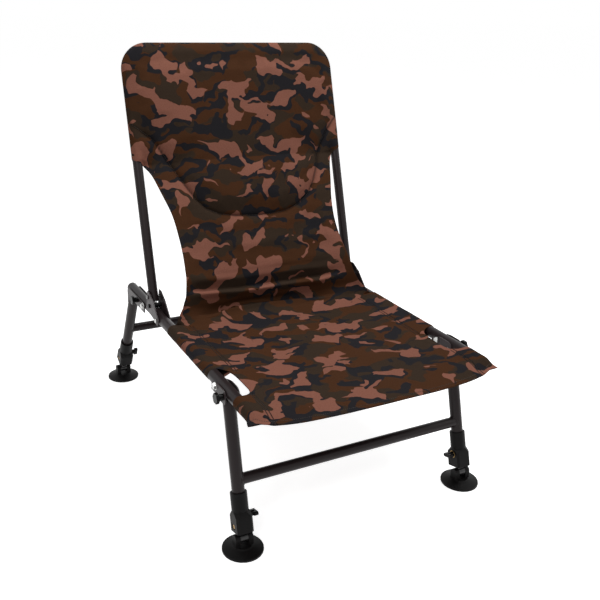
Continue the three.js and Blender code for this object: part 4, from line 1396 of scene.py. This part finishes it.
class CHAIR_OT_pocket_rear(Operator):
    """Make the rear panel of the pocket over the hoop"""

    bl_idname = "chair.pocket_rear"
    bl_label = "Pocket rear"

    def execute(self, context):
        sizes = cover()
        cloth = BackCloth()
        first = next(k for k, (kind, _) in enumerate(cloth.rows) if kind == "pocket")
        rows = cloth.rows[first:]
        # The panel's print starts this far up the pattern, so that it doesn't repeat the front's
        print_shift = 1.5

        def place(column, row):
            _, value = rows[row]
            x = cloth.across(column, row + first)
            edge = pocket_half_width(value) - abs(x)
            top = sizes.bow_height + pocket_radius() - value
            calm = eased(min(edge, top), 0.0, 0.05)
            wave = sizes.wrinkle * 1.5 * softly(Vector((x, value, 0)), scale=11, seed=21.7) * calm
            inward = 0.0035 * eased(edge, 0.03, 0.2) * eased(top, 0.02, 0.2)
            ahead = wave + inward - round_tube(x, value)
            return on_back(x, value, ahead), Vector((x, print_shift + value, 0))

        bm = cloth_grid(2 * cloth.half, len(rows) - 1, place)
        bmesh.ops.recalc_face_normals(bm, faces=bm.faces)
        piece = new_piece("pocket_rear", bm, finish_called("cloth"))
        face_up(piece, (0, 1, 0))
        thicken(piece, sizes.cloth)
        smoothen(piece)
        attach(piece, "backrest")
        return {"FINISHED"}


def stitches(name, lines):
    """Runs of small stitches along lines of points that carry their outward directions."""
    sizes = cover()
    # Each is a flattened ball, a little shorter than its step
    size = Matrix.Diagonal((sizes.stitch * 0.42, sizes.thread * 1.3, sizes.thread, 1))
    bm = bmesh.new()
    for line in lines:
        run, due = 0.0, 0.0
        for (a, up), (b, _) in zip(line, line[1:]):
            length = (b - a).length
            way = (b - a).normalized()
            side = way.cross(up).normalized()
            turn = Matrix((way, side, way.cross(side))).transposed().to_4x4()
            while due < run + length:
                middle = a + way * (due - run) + up * sizes.thread * 0.4
                placed = Matrix.Translation(middle) @ turn @ size
                bmesh.ops.create_icosphere(bm, subdivisions=1, radius=1, matrix=placed)
                due += sizes.stitch
            run += length
    return new_piece(name, bm, finish_called("thread"))


class CHAIR_OT_stitching(Operator):
    """Sew the sleeves, the hem and the pad's seam"""

    bl_idname = "chair.stitching"
    bl_label = "Stitching"

    def execute(self, context):
        sizes = cover()
        up = Vector((0, 0, 1))
        lines = []
        for side in SIDES.values():
            for row in (0, 1):
                seam = RAIL_X - sizes.stitch_in + row * sizes.stitch_gap
                behind = side * (seam - SEAM_SHIFT["rear"])
                ahead = side * (seam + SEAM_SHIFT["front"])
                rear_start = sizes.opening_rear - SEAM_PAST["rear"]
                ys = rows_between(rear_start, sizes.sleeve_rear - SEAM_END, 0.006)
                lines.append([(seat_point(behind, y), up) for y in ys])
                front_end = sizes.opening_front + SEAM_PAST["front"]
                ys = rows_between(-sizes.hem_corner - SEAM_END, front_end, 0.004)
                lines.append([(seat_point(ahead, y), up) for y in ys if y > hem_y(ahead) + 0.002])
        hem_half = RAIL_X + 0.012
        xs = rows_between(-hem_half, hem_half, 0.006)
        lines.append([(seat_point(x, hem_y(x) + sizes.hem_stitch), up) for x in xs])
        piece = stitches("seat_stitching", lines)
        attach(piece, "seat_frame")
        piece = stitches("pad_stitching", [self.pad_line()])
        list(blend_ends())
        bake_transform(piece)
        return {"FINISHED"}

    def pad_line(self):
        """The pad's seam as points on the finished pad, with their outward directions."""
        pad = bpy.data.objects.get("back_pad")
        if pad is None:
            raise RuntimeError("make the back pad before its stitching")
        tree = BVHTree.FromObject(pad, bpy.context.evaluated_depsgraph_get())
        ahead = on_back(0, 0, 1) - on_back(0, 0)
        clear = 0.15
        found = []
        for place in rows_between(0.0, len(PAD_SEAM) - 1.0, 0.25):
            x, along = smooth_row(PAD_SEAM, place)
            hit, out, _, _ = tree.ray_cast(on_back(x, along, clear), -ahead, 2 * clear)
            if hit and abs(x) < pocket_half_width(along) - 0.006:
                found.append((hit, out))
        return found


def turned(profile, steps, axis, centre):
    """A round solid from a profile of (radius, along) points spun about an axis through a centre."""
    bm = bmesh.new()
    verts = [bm.verts.new((radius, 0, along)) for radius, along in profile]
    edges = [bm.edges.new(pair) for pair in zip(verts, verts[1:])]
    whole = {"cent": (0, 0, 0), "axis": (0, 0, 1), "angle": math.tau, "use_merge": True}
    bmesh.ops.spin(bm, geom=verts + edges, steps=steps, **whole)
    bmesh.ops.remove_doubles(bm, verts=bm.verts, dist=SAME_PLACE)
    bmesh.ops.recalc_face_normals(bm, faces=bm.faces)
    turn = Vector((0, 0, 1)).rotation_difference(Vector(axis)).to_matrix().to_4x4()
    bmesh.ops.transform(bm, matrix=Matrix.Translation(centre) @ turn, verts=bm.verts)
    return bm


class CHAIR_OT_washers(Operator):
    """Put washers under the pivot bolts' heads"""

    bl_idname = "chair.washers"
    bl_label = "Washers"

    def execute(self, context):
        sizes = fittings()
        low, wide, high = sizes.washer_bore, sizes.washer, sizes.washer_high
        edge = 0.0002
        profile = [(low, 0.0), (wide - edge, 0.0), (wide, high / 4), (wide - edge, high), (low, high)]
        for side_name, side in SIDES.items():
            for end in ENDS:
                bolt = box_middle(f"leg_pivot_bolt_{end}_{side_name}")
                plate_low, plate_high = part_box(f"leg_plate_{end}_{side_name}_outer")
                face = plate_high.x if side > 0 else plate_low.x
                centre = (face - side * sizes.washer_sunk, bolt.y, bolt.z)
                bm = turned(profile + profile[:1], 32, (side, 0, 0), centre)
                piece = new_piece(f"washer_{end}_{side_name}", bm, finish_called("steel"), smooth=False)
                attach(piece, "seat_frame")
        return {"FINISHED"}


class CHAIR_OT_leg_fittings(Operator):
    """Put brass nuts and inserts in the adjusters, and weld beads at the cross bars"""

    bl_idname = "chair.leg_fittings"
    bl_label = "Leg fittings"

    def execute(self, context):
        sizes = fittings()
        for side_name, side in SIDES.items():
            for end in ENDS:
                corner = f"{end}_{side_name}"
                legs = end + "_legs"
                hinge = hinge_of("foot_" + corner)
                up, out = LEG_UP[end], LEG_OUT[end]
                window = hinge + up * (sizes.window_up + out)
                window.x += side * (sizes.adjuster_half - sizes.window_deep)
                radii = (sizes.nut_bore, sizes.nut)
                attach(self.ring("nut_" + corner, radii, sizes.nut_high, 6, side, window), legs)
                screw = hinge + up * (sizes.screw_up + out)
                screw.x -= side * sizes.adjuster_half
                radii = (sizes.boss_bore, sizes.boss)
                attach(self.ring("boss_" + corner, radii, sizes.boss_high, 32, -side, screw), legs)
                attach(self.weld("weld_" + corner, end, side, hinge.x), legs)
        return {"FINISHED"}

    def ring(self, name, radii, high, steps, towards, centre):
        """A brass ring that stands up sideways from a centre."""
        low, wide = radii
        edge = 0.12 * (wide - low)
        outer = [(wide, 0), (wide, high - edge), (wide - edge, high)]
        profile = [(low, 0), *outer, (low + edge, high), (low, high - edge), (low, 0)]
        bm = turned(profile, steps, (towards, 0, 0), centre)
        piece = new_piece(name, bm, finish_called("brass"), smooth=False)
        return piece

    def weld(self, name, end, side, leg_x):
        """A bead round a cross bar's end, shaped to the leg."""
        sizes = fittings()
        bar = box_middle(end + "_cross_bar")
        across = LEG_UP[end].cross(Vector((1, 0, 0)))
        swing = [math.tau * k / 8 for k in range(9)]
        profile = [(sizes.bead_round + sizes.bead * math.cos(a), sizes.bead * math.sin(a)) for a in swing]
        bm = turned(profile, 40, (side, 0, 0), (leg_x - side * LEG_RADIUS, bar.y, bar.z))
        for vert in bm.verts:
            reach = min(abs((vert.co - bar).dot(across)), sizes.bead_round)
            lumps = softly(vert.co, scale=420, seed=1.3) * 0.2 * sizes.bead
            vert.co.x += side * (LEG_RADIUS - math.sqrt(LEG_RADIUS**2 - reach**2)) + lumps
        piece = new_piece(name, bm, finish_called("coat"))
        return piece


class CHAIR_OT_studio(Operator):
    """Set up the floor, the lamps and the camera"""

    bl_idname = "chair.studio"
    bl_label = "Studio"

    def execute(self, context):
        sizes = studio()
        scene = context.scene
        scene.view_settings.view_transform = "Standard"
        self.floor(sizes)
        self.room(scene, sizes)
        for name, (place, wide) in LAMPS.items():
            self.lamp(name, Vector(place), getattr(sizes, name), wide)
        self.camera(scene, sizes)
        return {"FINISHED"}

    def floor(self, sizes):
        """A pale floor that keeps the chair's shadow and looks white where it is seen."""
        bm = bmesh.new()
        bmesh.ops.create_grid(bm, x_segments=8, y_segments=8, size=sizes.floor)
        under_feet = -0.0004
        bmesh.ops.translate(bm, vec=(0, 0, under_feet), verts=bm.verts)
        pale = sizes.floor_pale
        tone = (pale, pale, pale, 1)
        finish = Finish("studio floor", Base_Color=tone, Roughness=0.9, Specular_IOR_Level=0.0)
        finish.surface.inputs["Emission Strength"].default_value = sizes.floor_lift
        finish.wear("Emission Color", finish.blended(finish.seen(), (0, 0, 0, 1), (1, 1, 1, 1)))
        new_piece("studio_floor", bm, finish.material, smooth=False)

    def room(self, scene, sizes):
        """An even light all round, which looks white where it is seen."""
        world = bpy.data.worlds.new("room")
        scene.world = world
        shading = Shading(world)
        background = shading.tree.nodes["Background"]
        background.inputs["Strength"].default_value = 1.0
        even = (sizes.room, sizes.room, sizes.room, 1)
        colour = shading.blended(shading.seen(), even, (1, 1, 1, 1))
        shading.tree.links.new(colour.socket, background.inputs["Color"])

    def lamp(self, name, place, power, wide):
        data = bpy.data.lights.new(name, "AREA")
        data.energy = power
        data.size = wide
        lamp = bpy.data.objects.new(name, data)
        lamp.location = place
        lamp.rotation_euler = (LAMP_AIM - place).to_track_quat("-Z", "Y").to_euler()
        bpy.context.scene.collection.objects.link(lamp)

    def camera(self, scene, sizes):
        """A camera turned and dipped from looking along the chair, then rolled."""
        data = bpy.data.cameras.new("camera")
        camera = bpy.data.objects.new("camera", data)
        scene.collection.objects.link(camera)
        turn, dip, roll = sizes.camera_turn, sizes.camera_dip, sizes.camera_roll
        ahead = Vector((math.sin(turn) * math.cos(dip), math.cos(turn) * math.cos(dip), -math.sin(dip)))
        right = ahead.cross(Vector((0, 0, 1))).normalized()
        up = right.cross(ahead)
        rolled_right = right * math.cos(roll) + up * math.sin(roll)
        rolled_up = up * math.cos(roll) - right * math.sin(roll)
        turned_to = Matrix((rolled_right, rolled_up, -ahead)).transposed().to_4x4()
        camera.matrix_world = Matrix.Translation(Vector(sizes.camera_place)) @ turned_to
        data.lens = sizes.lens
        data.sensor_width = 36
        data.shift_x = sizes.shift_x
        data.shift_y = sizes.shift_y
        data.clip_start = 0.05
        data.clip_end = 120
        scene.camera = camera


OPERATORS = (
    CHAIR_OT_frame_finishes,
    CHAIR_OT_seat_cloth,
    CHAIR_OT_back_pad,
    CHAIR_OT_pocket_rear,
    CHAIR_OT_stitching,
    CHAIR_OT_washers,
    CHAIR_OT_leg_fittings,
    CHAIR_OT_studio,
)


class CHAIR_PT_panel(Panel):
    """Lists the chair's pieces, sizes and colours"""

    bl_label = "Folding Chair"
    bl_idname = "CHAIR_PT_panel"
    bl_space_type = "VIEW_3D"
    bl_region_type = "UI"
    bl_category = "Chair"

    def draw(self, context):
        layout = self.layout
        for operator in OPERATORS:
            layout.operator(operator.bl_idname)
        scene = context.scene
        for group in (scene.chair_cover, scene.chair_fittings, scene.chair_colours, scene.chair_studio):
            box = layout.box()
            for name in group.bl_rna.properties.keys():
                if name not in ("rna_type", "name"):
                    box.prop(group, name)


CLASSES = (CoverSizes, FittingSizes, ChairColours, StudioSizes, *OPERATORS, CHAIR_PT_panel)


def register():
    for item in CLASSES:
        bpy.utils.register_class(item)
    bpy.types.Scene.chair_cover = PointerProperty(type=CoverSizes)
    bpy.types.Scene.chair_fittings = PointerProperty(type=FittingSizes)
    bpy.types.Scene.chair_colours = PointerProperty(type=ChairColours)
    bpy.types.Scene.chair_studio = PointerProperty(type=StudioSizes)


def unregister():
    del bpy.types.Scene.chair_studio
    del bpy.types.Scene.chair_colours
    del bpy.types.Scene.chair_fittings
    del bpy.types.Scene.chair_cover
    for item in reversed(CLASSES):
        bpy.utils.unregister_class(item)


def main():
    """Make every piece."""
    register()
    for operator in OPERATORS:
        group, name = operator.bl_idname.split(".")
        getattr(getattr(bpy.ops, group), name)()


if __name__ == "__main__":
    main()
